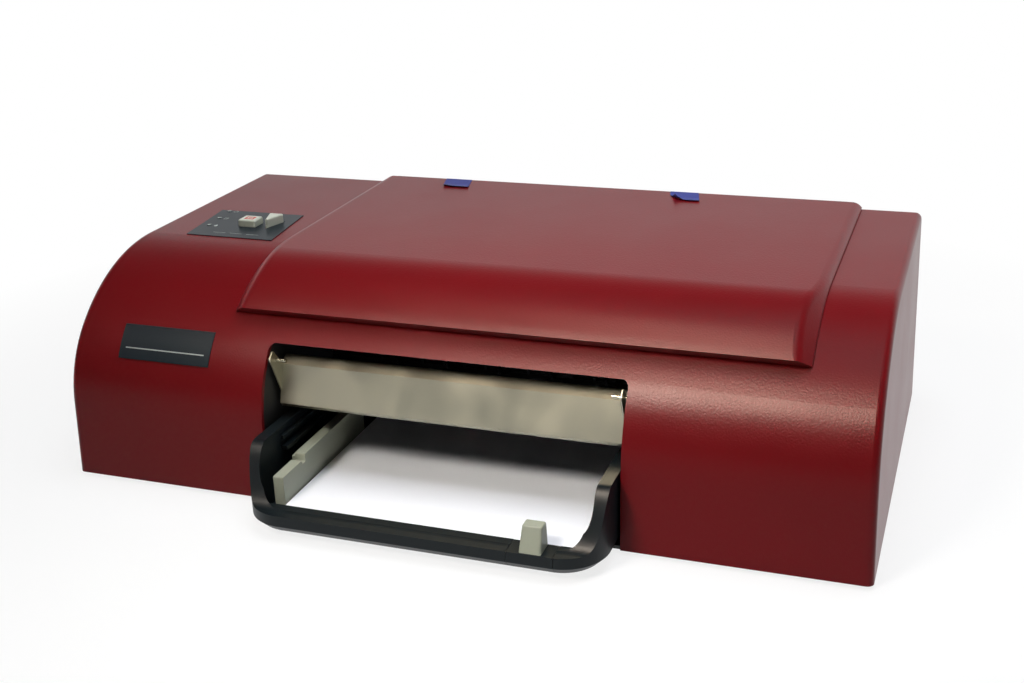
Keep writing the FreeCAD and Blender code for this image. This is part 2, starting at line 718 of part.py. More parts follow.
LID_TOP = TOP_Z + LID_PROUD
LID_BEND_RADIUS = LID_BEND_SHARE * CROWN_DEPTH
LID_BEVEL = LID_PROUD + LID_SWELL_SHARE * CROWN_DEPTH
LID_CENTRE = (FRONT_Y + LID_CROWN_SHARE * CROWN_DEPTH, LID_TOP - LID_BEND_RADIUS)
LID_SEAT_Z = HIGH_CENTRE[1] + math.sqrt(HIGH_RADIUS ** 2 - (LID_FRONT_Y - HIGH_CENTRE[0]) ** 2)
LID_CUT = math.atan2(LID_SEAT_Z - LID_CENTRE[1], LID_FRONT_Y - LID_CENTRE[0])


def lid_front_meets(centre, radius):
    """Where the line of the lid's front edge crosses a circle, seen from the side."""
    y, z = LID_CENTRE[0] - centre[0], LID_CENTRE[1] - centre[1]
    along = y * math.cos(LID_CUT) + z * math.sin(LID_CUT)
    reach = math.sqrt(along ** 2 - y ** 2 - z ** 2 + radius ** 2) - along
    return polar(LID_CENTRE, reach, LID_CUT)


def side_arc(x, first, last, centre):
    """Arc round a centre between two points of a side view at an X place."""
    angles = [math.atan2(point[1] - centre[1], point[0] - centre[0]) for point in (first, last)]
    middle = polar(centre, math.dist(first, centre), sum(angles) / 2)
    return Part.Arc(*[V(x, point[0], point[1]) for point in (first, middle, last)])


def side_line(x, first, last):
    """Line between two points of a side view at an X place."""
    return Part.LineSegment(V(x, first[0], first[1]), V(x, last[0], last[1]))


def lid_section(x, centre, radius):
    """Cross-section of the lid at an X place, with its outer arc round a centre and its seat on the brow."""
    under = HIGH_RADIUS + LID_GAP
    crown = polar(centre, radius, math.pi / 2)
    tip = lid_front_meets(centre, radius)
    toe = lid_front_meets(HIGH_CENTRE, under)
    seat = polar(HIGH_CENTRE, under, math.pi / 2)
    rear_high, rear_low = (HINGE_Y, crown[1]), (HINGE_Y, seat[1])
    edges = [
        side_line(x, rear_high, crown),
        side_arc(x, crown, tip, centre),
        side_line(x, tip, toe),
        side_arc(x, toe, seat, HIGH_CENTRE),
        side_line(x, seat, rear_low),
        side_line(x, rear_low, rear_high),
    ]
    return Part.Wire([edge.toShape() for edge in edges])


def lid_room():
    """The hollow under the lid's skin, inside its rim."""
    x = grown(LID_X, -LID_BEVEL - LID_RIM)
    rear = HINGE_Y - LID_REAR_RIM
    radius = LID_BEND_RADIUS - LID_SKIN
    crown = polar(LID_CENTRE, radius, math.pi / 2)
    tip = polar(LID_CENTRE, radius, LID_CUT - LID_RIM / LID_BEND_RADIUS)
    edges = [
        side_line(x[0], (rear, crown[1]), crown),
        side_arc(x[0], crown, tip, LID_CENTRE),
        side_line(x[0], tip, LID_CENTRE),
        side_line(x[0], LID_CENTRE, (rear, LID_CENTRE[1])),
        side_line(x[0], (rear, LID_CENTRE[1]), (rear, crown[1])),
    ]
    face = Part.Face(Part.Wire([edge.toShape() for edge in edges]))
    return face.extrude(V(x[1] - x[0], 0, 0))


def hinge_notch(x):
    """Room in the lid's rear edge for one knuckle of the housing."""
    reach = HINGE_LUG_RADIUS + SEAT_GAP
    span = grown(around(x, HINGE_LUG_WIDTH), SEAT_GAP)
    return block(span, (HINGE_Y - reach, HINGE_Y + OVERRUN), (TOP_Z - OVERRUN, TOP_Z + OVERRUN))


def on_lid_shoulder(edge):
    """Whether an edge runs along the top of one of the lid's bevelled sides."""
    middle = edge.valueAt((edge.FirstParameter + edge.LastParameter) / 2)
    crosswise = edge.BoundBox.XLength > edge.BoundBox.YLength
    if crosswise or LID_X[0] + LID_BEVEL < middle.x < LID_X[1] - LID_BEVEL:
        return False
    if middle.y > LID_CENTRE[0]:
        return abs(middle.z - LID_TOP) < RUN_GAP
    return abs(math.dist((middle.y, middle.z), LID_CENTRE) - LID_BEND_RADIUS) < RUN_GAP


def lid():
    """Curved lid that stands ever prouder of the brow, with bevelled sides, a rim and a rear hinge roll."""
    face = Part.Face(lid_section(LID_X[0], LID_CENTRE, LID_BEND_RADIUS))
    body = face.extrude(V(LID_X[1] - LID_X[0], 0, 0))
    inner = grown(LID_X, -LID_BEVEL)
    high = HIGH_RADIUS + LID_EDGE + LID_BEVEL
    tent = [Part.Face(lid_section(inner[0], HIGH_CENTRE, high)).extrude(V(inner[1] - inner[0], 0, 0))]
    for near, far in zip(inner, LID_X):
        ridge = lid_section(near, HIGH_CENTRE, high)
        eaves = lid_section(far, HIGH_CENTRE, HIGH_RADIUS + LID_EDGE)
        tent.append(Part.makeLoft([ridge, eaves], True, True))
    body = body.common(joined(tent))
    body = body.makeFillet(LID_EDGE_RADIUS, [edge for edge in body.Edges if on_lid_shoulder(edge)])
    body = body.cut(lid_room())
    roll = bar_x(inner, HINGE_Y, HINGE_Z, KNUCKLE_RADIUS)
    body = joined([body, roll])
    for x in HINGE_X:
        bore = around(x, HINGE_PIN_LENGTH + SEAT_GAP + SEAT_GAP)
        body = body.cut(hinge_notch(x))
        body = body.cut(bar_x(bore, HINGE_Y, HINGE_Z, HINGE_PIN_RADIUS + RUN_GAP))
    return body


def hinge_lugs():
    """Knuckles that stand on the housing's top and carry the lid's pins."""
    lugs = []
    for x in HINGE_X:
        span = around(x, HINGE_LUG_WIDTH)
        knuckle = bar_x(span, HINGE_Y, HINGE_Z, HINGE_LUG_RADIUS)
        foot_y = around(HINGE_Y - HINGE_LUG_RADIUS / 2, HINGE_LUG_RADIUS)
        foot = block(span, foot_y, (TOP_Z, HINGE_Z))
        bore = bar_x(grown(span, OVERRUN), HINGE_Y, HINGE_Z, HINGE_PIN_RADIUS + RUN_GAP)
        lugs.append(joined([knuckle, foot]).cut(bore))
    return lugs


def hinge_pins():
    """Pins of the lid hinge."""
    return [bar_x(around(x, HINGE_PIN_LENGTH), HINGE_Y, HINGE_Z, HINGE_PIN_RADIUS) for x in HINGE_X]


def tape_tabs():
    """Two strips of tape on the lid's rear edge, above the hinges."""
    z = (TOP_Z + LID_PROUD, TOP_Z + LID_PROUD + TAPE_THICK)
    tabs = []
    for x in HINGE_X:
        half = TAPE_WIDTH / 2
        front = HINGE_Y - TAPE_LENGTH
        points = [(x - half, HINGE_Y), (x + half, HINGE_Y)]
        points += [(x + half + TAPE_SKEW, front), (x - half + TAPE_SKEW, front)]
        tabs.append(flat_plate(points, z))
    return tabs


def front_plate():
    """Bare plate that follows the curved front."""
    x = (PLATE_MARGIN - HALF_WIDTH, PLATE_MARGIN - HALF_WIDTH + PLATE_WIDTH)
    under = skin_block(PLATE_GLUE, -OVERRUN, grown(x, OVERRUN))
    body = skin_block(PLATE_THICK, SHELL_LIFT, x).cut(under)
    foot = SHELL_LIFT + FRONT_RISE
    z = (foot + BROW_HEIGHT * PLATE_LOW_SHARE, foot + BROW_HEIGHT * PLATE_HIGH_SHARE)
    return body.common(block(x, (FRONT_Y - OVERRUN, FRONT_Y + CROWN_DEPTH), z))


def panel_overlay():
    """Bare slanted overlay with holes for the keys and the lamps."""
    skew = OVERLAY_SKEW
    left, right = OVERLAY_X, OVERLAY_X + OVERLAY_WIDTH
    front, rear = OVERLAY_Y, OVERLAY_Y + OVERLAY_LENGTH
    z = (TOP_Z, TOP_Z + OVERLAY_THICK)
    points = [(left, front), (right, front), (right - skew, rear), (left - skew, rear)]
    body = flat_plate(points, z)
    holes = [flat_plate(face(KEY_GAP), grown(z, OVERRUN)) for face, _ in KEYS.values()]
    holes += [bar_z(x, y, grown(z, OVERRUN), LAMP_RADIUS + RUN_GAP) for x, y in lamp_places()]
    return body.cut(holes)


def lamp_places():
    """Middles of the indicator lamps, in a row along the overlay's slanted left edge."""
    places = []
    for index in range(LAMP_COUNT):
        along = LAMP_DEPTH + LAMP_PITCH * index
        slant = OVERLAY_SKEW * along / OVERLAY_LENGTH
        places.append((OVERLAY_X + LAMP_LEFT - slant, OVERLAY_Y + along))
    return places


def panel_lamps():
    """Small round lenses, a little proud of the overlay."""
    z = (TOP_Z, TOP_Z + OVERLAY_THICK + LAMP_PROUD)
    return [bar_z(x, y, z, LAMP_RADIUS) for x, y in lamp_places()]


def key(face, rise):
    """A key cap with a retaining flange under the housing's ceiling and a stem to its switch."""
    cap = flat_plate(face(0), (KEY_FLANGE_LOW, TOP_Z + rise))
    top = [edge for edge in cap.Edges if edge.BoundBox.ZMin > TOP_Z + rise - SEAT_GAP]
    cap = cap.makeFillet(KEY_EDGE_RADIUS, top + edges_along(cap, Z_AXIS))
    flange = flat_plate(face(KEY_FLANGE), (KEY_FLANGE_LOW, KEY_FLANGE_TOP))
    x, y = key_centre(face)
    stem = bar_z(x, y, (KEY_STEM_LOW, KEY_FLANGE_LOW), KEY_STEM_RADIUS)
    return joined([cap, flange, stem])


def key_board():
    """Circuit board under the keys."""
    return block(KEY_BOARD_X, KEY_BOARD_Y, (KEY_BOARD_TOP - BOARD_THICK, KEY_BOARD_TOP))


def key_switches():
    """Push switches on the key board, one under each stem."""
    switches = []
    for face, _ in KEYS.values():
        x, y = key_centre(face)
        low = (KEY_BOARD_TOP, KEY_BOARD_TOP + SWITCH_HEIGHT / 2)
        case = block(around(x, SWITCH_SIZE), around(y, SWITCH_SIZE), low)
        switches.append(joined([case, bar_z(x, y, (low[1], SWITCH_TOP), KEY_STEM_RADIUS)]))
    return switches


def base_pan():
    """Floor of the printer with a low wall just inside the cover."""
    inset = SHELL_WALL + SEAT_GAP
    rear = PANEL_Y - PANEL_THICK - SEAT_GAP
    body = hollow(inset, FOOT_HEIGHT, rear)
    tall = (FOOT_HEIGHT, PAN_TOP + PAN_WALL_HEIGHT)
    wide = grown((-HALF_WIDTH, HALF_WIDTH), OVERRUN)
    deep = grown((FRONT_Y, REAR_Y), OVERRUN)
    body = body.common(block(wide, deep, tall))
    inner = hollow(inset + PAN_WALL, FOOT_HEIGHT, rear - PAN_WALL)
    body = body.cut(inner.common(block(wide, deep, (PAN_TOP, TOP_Z))))
    door_y = (FRONT_Y - OVERRUN, FRONT_Y + OVERRUN)
    return body.cut(block((-MOUTH_HALF, MOUTH_HALF), door_y, (PAN_TOP, TOP_Z)))


def rubber_feet():
    """Pads under the corners of the pan."""
    xs = (FOOT_INSET - HALF_WIDTH, HALF_WIDTH - FOOT_INSET)
    ys = (FRONT_Y + FOOT_INSET, REAR_Y - FOOT_INSET)
    feet = []
    for x in xs:
        for y in ys:
            pad = bar_z(x, y, (0, FOOT_HEIGHT), FOOT_RADIUS)
            low = [edge for edge in pad.Edges if edge.BoundBox.ZMax < FOOT_HEIGHT / 2]
            feet.append(pad.makeFillet(FOOT_HEIGHT / 2, low))
    return feet


INLET_X = INLET_MARGIN - HALF_WIDTH
INLET_Z = PAN_TOP + INLET_RISE
SOCKET_X = SOCKET_MARGIN - HALF_WIDTH
SOCKET_Z = MAIN_TOP + SOCKET_HEIGHT / 2


def panel_screw_places():
    """Screws along the rear panel's upper corners and its foot."""
    top = TOP_Z - REAR_FLANGE - PANEL_SCREW_MARGIN
    low = PAN_TOP + PAN_WALL_HEIGHT + PANEL_SCREW_MARGIN
    half = HALF_WIDTH - REAR_FLANGE - HOUSING_HEIGHT * DRAFT - PANEL_SCREW_MARGIN
    return [(x, z) for x in (-half, 0, half) for z in (low, top)]


def rear_panel():
    """Back plate, held inside the cover's rear flange, with vents and the socket cut-outs."""
    y = (PANEL_Y - PANEL_THICK, PANEL_Y)
    tall = (PAN_TOP, CEILING_Z - SEAT_GAP)
    wide = (-HALF_WIDTH, HALF_WIDTH)
    body = hollow(SHELL_WALL + SEAT_GAP, FOOT_HEIGHT, PANEL_Y).common(block(wide, y, tall))
    through = grown(y, OVERRUN)
    first = -VENT_PITCH * (VENT_COUNT - 1) / 2
    cutters = []
    for index in range(VENT_COUNT):
        x = around(first + VENT_PITCH * index, VENT_WIDTH)
        cutters.append(block(x, through, around(PAN_TOP + VENT_RISE, VENT_HEIGHT)))
    inlet_x = grown(around(INLET_X, INLET_WIDTH), SEAT_GAP)
    cutters.append(block(inlet_x, through, grown(around(INLET_Z, INLET_HEIGHT), SEAT_GAP)))
    socket_x = grown(around(SOCKET_X, SOCKET_WIDTH), SEAT_GAP)
    cutters.append(block(socket_x, through, grown(around(SOCKET_Z, SOCKET_HEIGHT), SEAT_GAP)))
    for x, z in panel_screw_places():
        cutters.append(bar_y(x, through, z, PANEL_SCREW_SHANK + RUN_GAP))
    return body.cut(cutters)


def rear_panel_screws():
    """Round-headed screws of the rear panel."""
    screws = []
    for x, z in panel_screw_places():
        head = bar_y(x, (PANEL_Y, PANEL_Y + PANEL_SCREW_HEAD), z, PANEL_SCREW_RADIUS)
        rim = [edge for edge in head.Edges if edge.BoundBox.YMin > PANEL_Y + PANEL_SCREW_HEAD / 2]
        head = head.makeFillet(PANEL_SCREW_HEAD / 2, rim)
        screws.append(joined([head, bar_y(x, (PANEL_Y - PANEL_THICK, PANEL_Y), z, PANEL_SCREW_SHANK)]))
    return screws


def power_inlet():
    """Appliance inlet: flange, hood with its slanted corners, and three blades."""
    low = INLET_Z - INLET_HEIGHT / 2
    x = around(INLET_X, INLET_WIDTH)
    z = (low, low + INLET_HEIGHT)
    y = (PANEL_Y - INLET_DEPTH, PANEL_Y)
    flange_y = (PANEL_Y, PANEL_Y + INLET_FLANGE_THICK)
    flange = block(grown(x, INLET_FLANGE), flange_y, grown(z, INLET_FLANGE))
    body = joined([block(x, y, z), rounded_along(flange, Y_AXIS, INLET_FLANGE)])
    well_y = (PANEL_Y - INLET_DEPTH + INLET_WALL, PANEL_Y + OVERRUN)
    well = block(grown(x, -INLET_WALL), well_y, grown(z, -INLET_WALL))
    upper = [edge for edge in edges_along(well, Y_AXIS) if edge.CenterOfMass.z > INLET_Z]
    body = body.cut(well.makeChamfer(INLET_CHAMFER, upper))
    blades = []
    for side in (-1, 0, 1):
        blade_x = around(INLET_X + INLET_BLADE_SPREAD * side, INLET_BLADE_THICK)
        blade_z = around(INLET_Z + INLET_BLADE_WIDTH * (1 - abs(side)) / 2, INLET_BLADE_WIDTH)
        blades.append(block(blade_x, (y[0] + INLET_WALL / 2, PANEL_Y - INLET_WALL), blade_z))
    return joined([body] + blades)


def data_socket():
    """Square data socket with its chamfered upper corners and tongue."""
    x = around(SOCKET_X, SOCKET_WIDTH)
    z = around(SOCKET_Z, SOCKET_HEIGHT)
    y = (PANEL_Y - SOCKET_DEPTH, PANEL_Y + SOCKET_WALL)
    body = block(x, y, z)
    well = block(grown(x, -SOCKET_WALL), (y[0] + SOCKET_WALL, y[1] + OVERRUN), grown(z, -SOCKET_WALL))
    upper = [edge for edge in edges_along(well, Y_AXIS) if edge.CenterOfMass.z > SOCKET_Z]
    body = body.cut(well.makeChamfer(SOCKET_WALL, upper))
    tongue_z = around(SOCKET_Z, SOCKET_TONGUE / 2)
    tongue = block(around(SOCKET_X, SOCKET_TONGUE), (y[0], y[1] - SOCKET_WALL - SOCKET_WALL), tongue_z)
    return joined([body, tongue])


FLAP_PIVOT_Z = MOUTH_TOP - FLAP_PIVOT_DROP
FLAP_PIVOT_Y = skin_depth(FLAP_PIVOT_Z) + FLAP_SETBACK
FLAP_HALF = MOUTH_HALF - FLAP_SIDE_GAP


def mouth_liner():
    """Dark liner behind the mouth: a cheek on each side, with a roof between them."""
    inset = SHELL_WALL + SEAT_GAP
    roof_z = (MOUTH_TOP + LINER_HEADROOM, MOUTH_TOP + LINER_HEADROOM + LINER_WALL)
    y = (FRONT_Y - OVERRUN, LINER_REAR)
    half = MOUTH_HALF + LINER_WALL
    room = hollow(inset, PAN_TOP, PANEL_Y)
    slabs = [block((-half, half), y, roof_z)]
    for side in ((-half, -MOUTH_HALF), (MOUTH_HALF, half)):
        slabs.append(block(side, y, (PAN_TOP, roof_z[1])))
    body = joined(slabs).common(room)
    inside_pan = hollow(inset + PAN_WALL + SEAT_GAP, FOOT_HEIGHT, PANEL_Y)
    pan_edge = hollow(inset, FOOT_HEIGHT, PANEL_Y).cut(inside_pan)
    tall = (PAN_TOP, PAN_TOP + PAN_WALL_HEIGHT + SEAT_GAP)
    wide = grown((-HALF_WIDTH, HALF_WIDTH), OVERRUN)
    body = body.cut(pan_edge.common(block(wide, (FRONT_Y - OVERRUN, FRONT_Y + OVERRUN), tall)))
    bore = bar_x(grown((-half, half), OVERRUN), FLAP_PIVOT_Y, FLAP_PIVOT_Z, FLAP_PIN_RADIUS + RUN_GAP)
    return body.cut(bore)


def exit_flap():
    """Bent steel flap: leaning plate, lip and hem folded back along their creases, two forward ears."""
    def at(back, up):
        return (FLAP_PIVOT_Y + back, FLAP_PIVOT_Z + up)

    path = [
        at(FLAP_FOOT_BACK + FLAP_HEM_BACK, -FLAP_DROP),
        at(FLAP_FOOT_BACK, FLAP_HEM - FLAP_DROP),
        at(FLAP_CREASE_BACK, -FLAP_CREASE_DROP),
        at(FLAP_LIP_BACK, -FLAP_LIP_DROP),
    ]
    behind = [(y + FLAP_SHEET, z) for y, z in reversed(path)]
    plate = side_plate(path + behind, (-FLAP_HALF, FLAP_HALF))
    ear_points = [
        at(EAR_TIP_BACK, -EAR_TIP_DROP),
        at(-EAR_NOSE_FRONT, EAR_NOSE_RISE),
        at(-EAR_TOP_FRONT, EAR_TOP_RISE),
        at(FLAP_CREASE_BACK, -FLAP_CREASE_DROP),
    ]
    pieces = [plate]
    for x in ((-FLAP_HALF, FLAP_SHEET - FLAP_HALF), (FLAP_HALF - FLAP_SHEET, FLAP_HALF)):
        ear = side_plate(ear_points, x)
        top = [edge for edge in edges_along(ear, X_AXIS) if edge.CenterOfMass.z > FLAP_PIVOT_Z]
        pieces.append(ear.makeFillet(EAR_CORNER_RADIUS, top))
    bore = bar_x((-MOUTH_HALF, MOUTH_HALF), FLAP_PIVOT_Y, FLAP_PIVOT_Z, FLAP_PIN_RADIUS + RUN_GAP)
    return joined(pieces).cut(bore)


def flap_pins():
    """Pivot pins of the flap, from the cheeks through the ears."""
    outer = MOUTH_HALF + LINER_WALL
    inner = FLAP_HALF - FLAP_SHEET - FLAP_PIN_REACH
    spans = ((-outer, -inner), (inner, outer))
    return [bar_x(x, FLAP_PIVOT_Y, FLAP_PIVOT_Z, FLAP_PIN_RADIUS) for x in spans]


def tray_side_profile():
    """Side view of what is cut off above the tray: front lip, swept-up rim, fall to the rear."""
    start = TRAY_FRONT + TRAY_SWEEP_START
    high = start + TRAY_SWEEP_LENGTH
    low = TRAY_FALL + TRAY_FALL_LENGTH
    rear_z = TRAY_BED + TRAY_REAR_HEIGHT
    left, right = TRAY_FRONT - OVERRUN, TRAY_REAR + OVERRUN
    x = -TRAY_HALF - OVERRUN

    def at(y, z):
        return V(x, y, z)

    def sweep(first, last):
        bezier = Part.BezierCurve()
        middle = (first[0] + last[0]) / 2
        bezier.setPoles([at(*first), at(middle, first[1]), at(middle, last[1]), at(*last)])
        return bezier.toShape()

    corners = [(left, TRAY_LIP_TOP), (start, TRAY_LIP_TOP), (high, TRAY_RIM)]
    corners += [(TRAY_FALL, TRAY_RIM), (low, rear_z), (right, rear_z)]
    top = TRAY_RIM + OVERRUN
    edges = [
        Part.makeLine(at(*corners[0]), at(*corners[1])),
        sweep(corners[1], corners[2]),
        Part.makeLine(at(*corners[2]), at(*corners[3])),
        sweep(corners[3], corners[4]),
        Part.makeLine(at(*corners[4]), at(*corners[5])),
        Part.makeLine(at(*corners[5]), at(right, top)),
        Part.makeLine(at(right, top), at(left, top)),
        Part.makeLine(at(left, top), at(*corners[0])),
    ]
    width = TRAY_HALF + TRAY_HALF + OVERRUN + OVERRUN
    return Part.Face(Part.Wire(edges)).extrude(V(width, 0, 0))


SLIDER_RUNNER_X = grown(SLIDER_X, -SLIDER_RUNNER_INSET)
SLIDER_RUNNER_TOP = TRAY_BED - RUN_GAP
SLIDER_RUNNER_LOW = SLIDER_RUNNER_TOP - SLIDER_RUNNER_THICK
SLIDER_REAR = TRAY_FRONT + TRAY_LIP


def tray_plan(inset, z):
    """The tray's plan, set in from its walls and with round front corners, drawn up between two heights."""
    body = block(grown((-TRAY_HALF, TRAY_HALF), -inset), (TRAY_FRONT + inset, TRAY_REAR - inset), z)
    front = [edge for edge in edges_along(body, Z_AXIS) if edge.CenterOfMass.y < FRONT_Y]
    return body.makeFillet(TRAY_CORNER - inset, front)


def tucked(body, rear):
    """A body of the tray with its lower edges ahead of a Y place cut back, so that it overhangs its foot."""
    foot = []
    for edge in body.Edges:
        if edge.BoundBox.ZMax < TRAY_BOTTOM + SEAT_GAP and edge.CenterOfMass.y < rear:
            foot.append(edge)
    return body.makeChamfer(TRAY_TUCK, foot)


def paper_tray():
    """Tray moulding: rounded plan, low front lip, swept rims, ledges, guide slot and runner channel."""
    outer = tucked(tray_plan(0, (TRAY_BOTTOM, TRAY_RIM)), TRAY_REAR - TRAY_WALL)
    body = outer.cut(tray_plan(TRAY_WALL, (TRAY_LIP_TOP, TRAY_RIM + OVERRUN)))
    well_y = (TRAY_FRONT + TRAY_LIP, TRAY_REAR - TRAY_REAR_WALL)
    well = block((-TRAY_INNER, TRAY_INNER), well_y, (TRAY_BED, TRAY_RIM + OVERRUN))
    body = body.cut(rounded_along(well, Z_AXIS, TRAY_INNER_CORNER))
    ledge_y = (FRONT_Y + TRAY_LEDGE_START, TRAY_FALL - TRAY_LEDGE_END)
    ledges = []
    for index in range(TRAY_LEDGE_COUNT):
        top = TRAY_RIM - TRAY_LEDGE_DROP - TRAY_LEDGE_PITCH * index
        reach = TRAY_INNER - TRAY_LEDGE_WIDTH * (index + 1)
        z = (top - TRAY_LEDGE_HEIGHT, top)
        ledges.append(block((-TRAY_INNER - TRAY_LEDGE_WIDTH, -reach), ledge_y, z))
    stop_x = (TRAY_INNER - PAPER_STOP, TRAY_INNER + TRAY_WALL / 2)
    stop_y = (TRAY_FRONT + TRAY_LIP / 2, TRAY_REAR - TRAY_REAR_WALL / 2)
    stop = block(stop_x, stop_y, (TRAY_BED - TRAY_FLOOR / 2, TRAY_LIP_TOP))
    body = joined([body, stop.common(outer)] + ledges)
    slot_x = (GUIDE_X - WIDTH_GUIDE_WALL, GUIDE_X + WIDTH_GUIDE_TRAVEL)
    slot_y = around(FRONT_Y + GUIDE_SLOT_DEPTH, GUIDE_SLOT_WIDTH)
    gate_y = (TRAY_FRONT - OVERRUN, SLIDER_REAR)
    gate = block(grown(SLIDER_X, SEAT_GAP), gate_y, (TRAY_BOTTOM - OVERRUN, TRAY_RIM))
    channel_y = (SLIDER_REAR - OVERRUN, SLIDER_REAR + SLIDER_RUNNER_LENGTH)
    channel_z = (SLIDER_RUNNER_LOW - SEAT_GAP, TRAY_RIM)
    channel = block(grown(SLIDER_RUNNER_X, SEAT_GAP), channel_y, channel_z)
    cutters = [tray_side_profile(), block(slot_x, slot_y, (0, TRAY_RIM)), gate, channel]
    return body.cut(cutters)


def width_guide():
    """Side guide: an upright wall with a stepped top and a lug in the tray's slot."""
    front, rear = FRONT_Y - WIDTH_GUIDE_FRONT, LINER_REAR - WIDTH_GUIDE_REAR_MARGIN
    foot = TRAY_BED + SEAT_GAP
    top = TRAY_BED + WIDTH_GUIDE_HEIGHT
    step = front + WIDTH_GUIDE_STEP
    points = [
        (front, foot),
        (front, top),
        (step, top),
        (step, top - WIDTH_GUIDE_NOTCH_DROP),
        (step + WIDTH_GUIDE_NOTCH, top - WIDTH_GUIDE_NOTCH_DROP),
        (step + WIDTH_GUIDE_NOTCH, top + WIDTH_GUIDE_STEP_HEIGHT),
        (rear, top + WIDTH_GUIDE_STEP_HEIGHT),
        (rear, foot),
    ]
    wall = side_plate(points, (GUIDE_X - WIDTH_GUIDE_WALL, GUIDE_X))
    wall = rounded_along(wall, X_AXIS, GUIDE_EDGE_RADIUS)
    back_y = (step + WIDTH_GUIDE_NOTCH + GUIDE_EDGE_RADIUS, rear - GUIDE_EDGE_RADIUS)
    back_x = around(GUIDE_X - WIDTH_GUIDE_WALL, WIDTH_GUIDE_BACK + WIDTH_GUIDE_BACK)
    back = block(back_x, back_y, (foot, top))
    lug_y = grown(around(FRONT_Y + GUIDE_SLOT_DEPTH, GUIDE_SLOT_WIDTH), -SEAT_GAP)
    lug_x = grown((GUIDE_X - WIDTH_GUIDE_WALL, GUIDE_X), -GUIDE_EDGE_RADIUS)
    lug = block(lug_x, lug_y, (TRAY_BOTTOM + WIDTH_GUIDE_LUG, foot + GUIDE_EDGE_RADIUS))
    return joined([wall, back, lug])


def length_slider():
    """Pull-out segment of the tray's lip, with a flat runner under the paper."""
    head = block(SLIDER_X, (TRAY_FRONT, SLIDER_REAR - SEAT_GAP), (TRAY_BOTTOM, TRAY_LIP_TOP))
    head = tucked(head, TRAY_FRONT + SEAT_GAP)
    runner_y = (SLIDER_REAR - SEAT_GAP - OVERRUN / 2, SLIDER_REAR + SLIDER_RUNNER_LENGTH - SEAT_GAP)
    runner = block(SLIDER_RUNNER_X, runner_y, (SLIDER_RUNNER_LOW, SLIDER_RUNNER_TOP))
    return joined([head, runner])


def length_guide():
    """Tapered guide block on the pull-out segment, its front face leaning back."""
    centre = sum(SLIDER_X) / 2
    half = LENGTH_GUIDE_WIDTH / 2
    front = TRAY_FRONT + LENGTH_GUIDE_SETBACK
    rear = front + LENGTH_GUIDE_LENGTH
    low, high = TRAY_LIP_TOP, TRAY_LIP_TOP + LENGTH_GUIDE_HEIGHT
    tops = half - LENGTH_GUIDE_TAPER
    lower = [V(centre - half, front, low), V(centre + half, front, low)]
    lower += [V(centre + half, rear, low), V(centre - half, rear, low)]
    lean = front + LENGTH_GUIDE_SLOPE
    upper = [V(centre - tops, lean, high), V(centre + tops, lean, high)]
    upper += [V(centre + tops, rear, high), V(centre - tops, rear, high)]
    rings = [Part.makePolygon(ring + ring[:1]) for ring in (lower, upper)]
    body = Part.makeLoft(rings, True, True)
    edges = [edge for edge in body.Edges if edge.BoundBox.ZMax > low + SEAT_GAP]
    return body.makeFillet(LENGTH_GUIDE_RADIUS, edges)


def frame(inner, outward, holes):
    """Steel side frame with a turned-out foot and shaft holes given as (y, z, radius)."""
    outer = inner + FRAME_SHEET * outward
    x = (min(inner, outer), max(inner, outer))
    body = block(x, FRAME_Y, (PAN_TOP, FRAME_TOP))
    upper = [edge for edge in edges_along(body, X_AXIS) if edge.CenterOfMass.z > TRAY_RIM]
    body = body.makeFillet(FRAME_CORNER, upper)
    toe = inner + FRAME_FOOT * outward
    foot = block((min(inner, toe), max(inner, toe)), FRAME_Y, (PAN_TOP, PAN_TOP + FRAME_SHEET))
    body = joined([body, foot])
    return body.cut([bar_x(grown(x, SEAT_GAP), hy, hz, radius + RUN_GAP) for hy, hz, radius in holes])


SHAFT_HOLES = [
    (ROD_Y, ROD_Z, ROD_RADIUS),
    (FEED_Y, FEED_Z, FEED_SHAFT_RADIUS),
    (EXIT_Y, EXIT_Z, EXIT_SHAFT_RADIUS),
    (EXIT_Y, STAR_Z, STAR_SHAFT_RADIUS),
]
PINION_HOLE = [(PINION_Y, PINION_Z, PINION_SHAFT_RADIUS)]
THROUGH_FRAMES = (LEFT_FRAME - FRAME_SHEET - SHAFT_OVERHANG, RIGHT_FRAME + FRAME_SHEET + SHAFT_OVERHANG)


def rear_beam():
    """Steel beam between the frames, with a turned-back flange and lightening windows."""
    y = (BEAM_Y, BEAM_Y + FRAME_SHEET)
    z = (PAN_TOP + BEAM_LOW, BEAM_TOP)
    web = block(BETWEEN_FRAMES, y, z)
    flange = block(BETWEEN_FRAMES, (BEAM_Y, BEAM_Y + BEAM_FLANGE), (z[1] - FRAME_SHEET, z[1]))
    body = joined([web, flange])
    room = BETWEEN_FRAMES[1] - BETWEEN_FRAMES[0]
    cutters = [bar_y(DRIVE_X, grown(y, OVERRUN), BELT_Z, STUD_RADIUS + SEAT_GAP)]
    for index in range(BEAM_WINDOW_COUNT):
        x = BETWEEN_FRAMES[0] + room * (index + 1) / (BEAM_WINDOW_COUNT + 1)
        window_z = around(PINCH_Z + PINCH_HOLDER_RISE + BEAM_WINDOW_HEIGHT, BEAM_WINDOW_HEIGHT)
        window = block(around(x, BEAM_WINDOW_LENGTH), grown(y, SEAT_GAP), window_z)
        cutters.append(rounded_along(window, Y_AXIS, BEAM_WINDOW_CORNER))
    return body.cut(cutters)


def guide_rod():
    """Ground steel rod that the carriage runs on."""
    reach = (LEFT_FRAME - FRAME_SHEET - ROD_OVERHANG, RIGHT_FRAME + FRAME_SHEET + ROD_OVERHANG)
    return bar_x(reach, ROD_Y, ROD_Z, ROD_RADIUS)


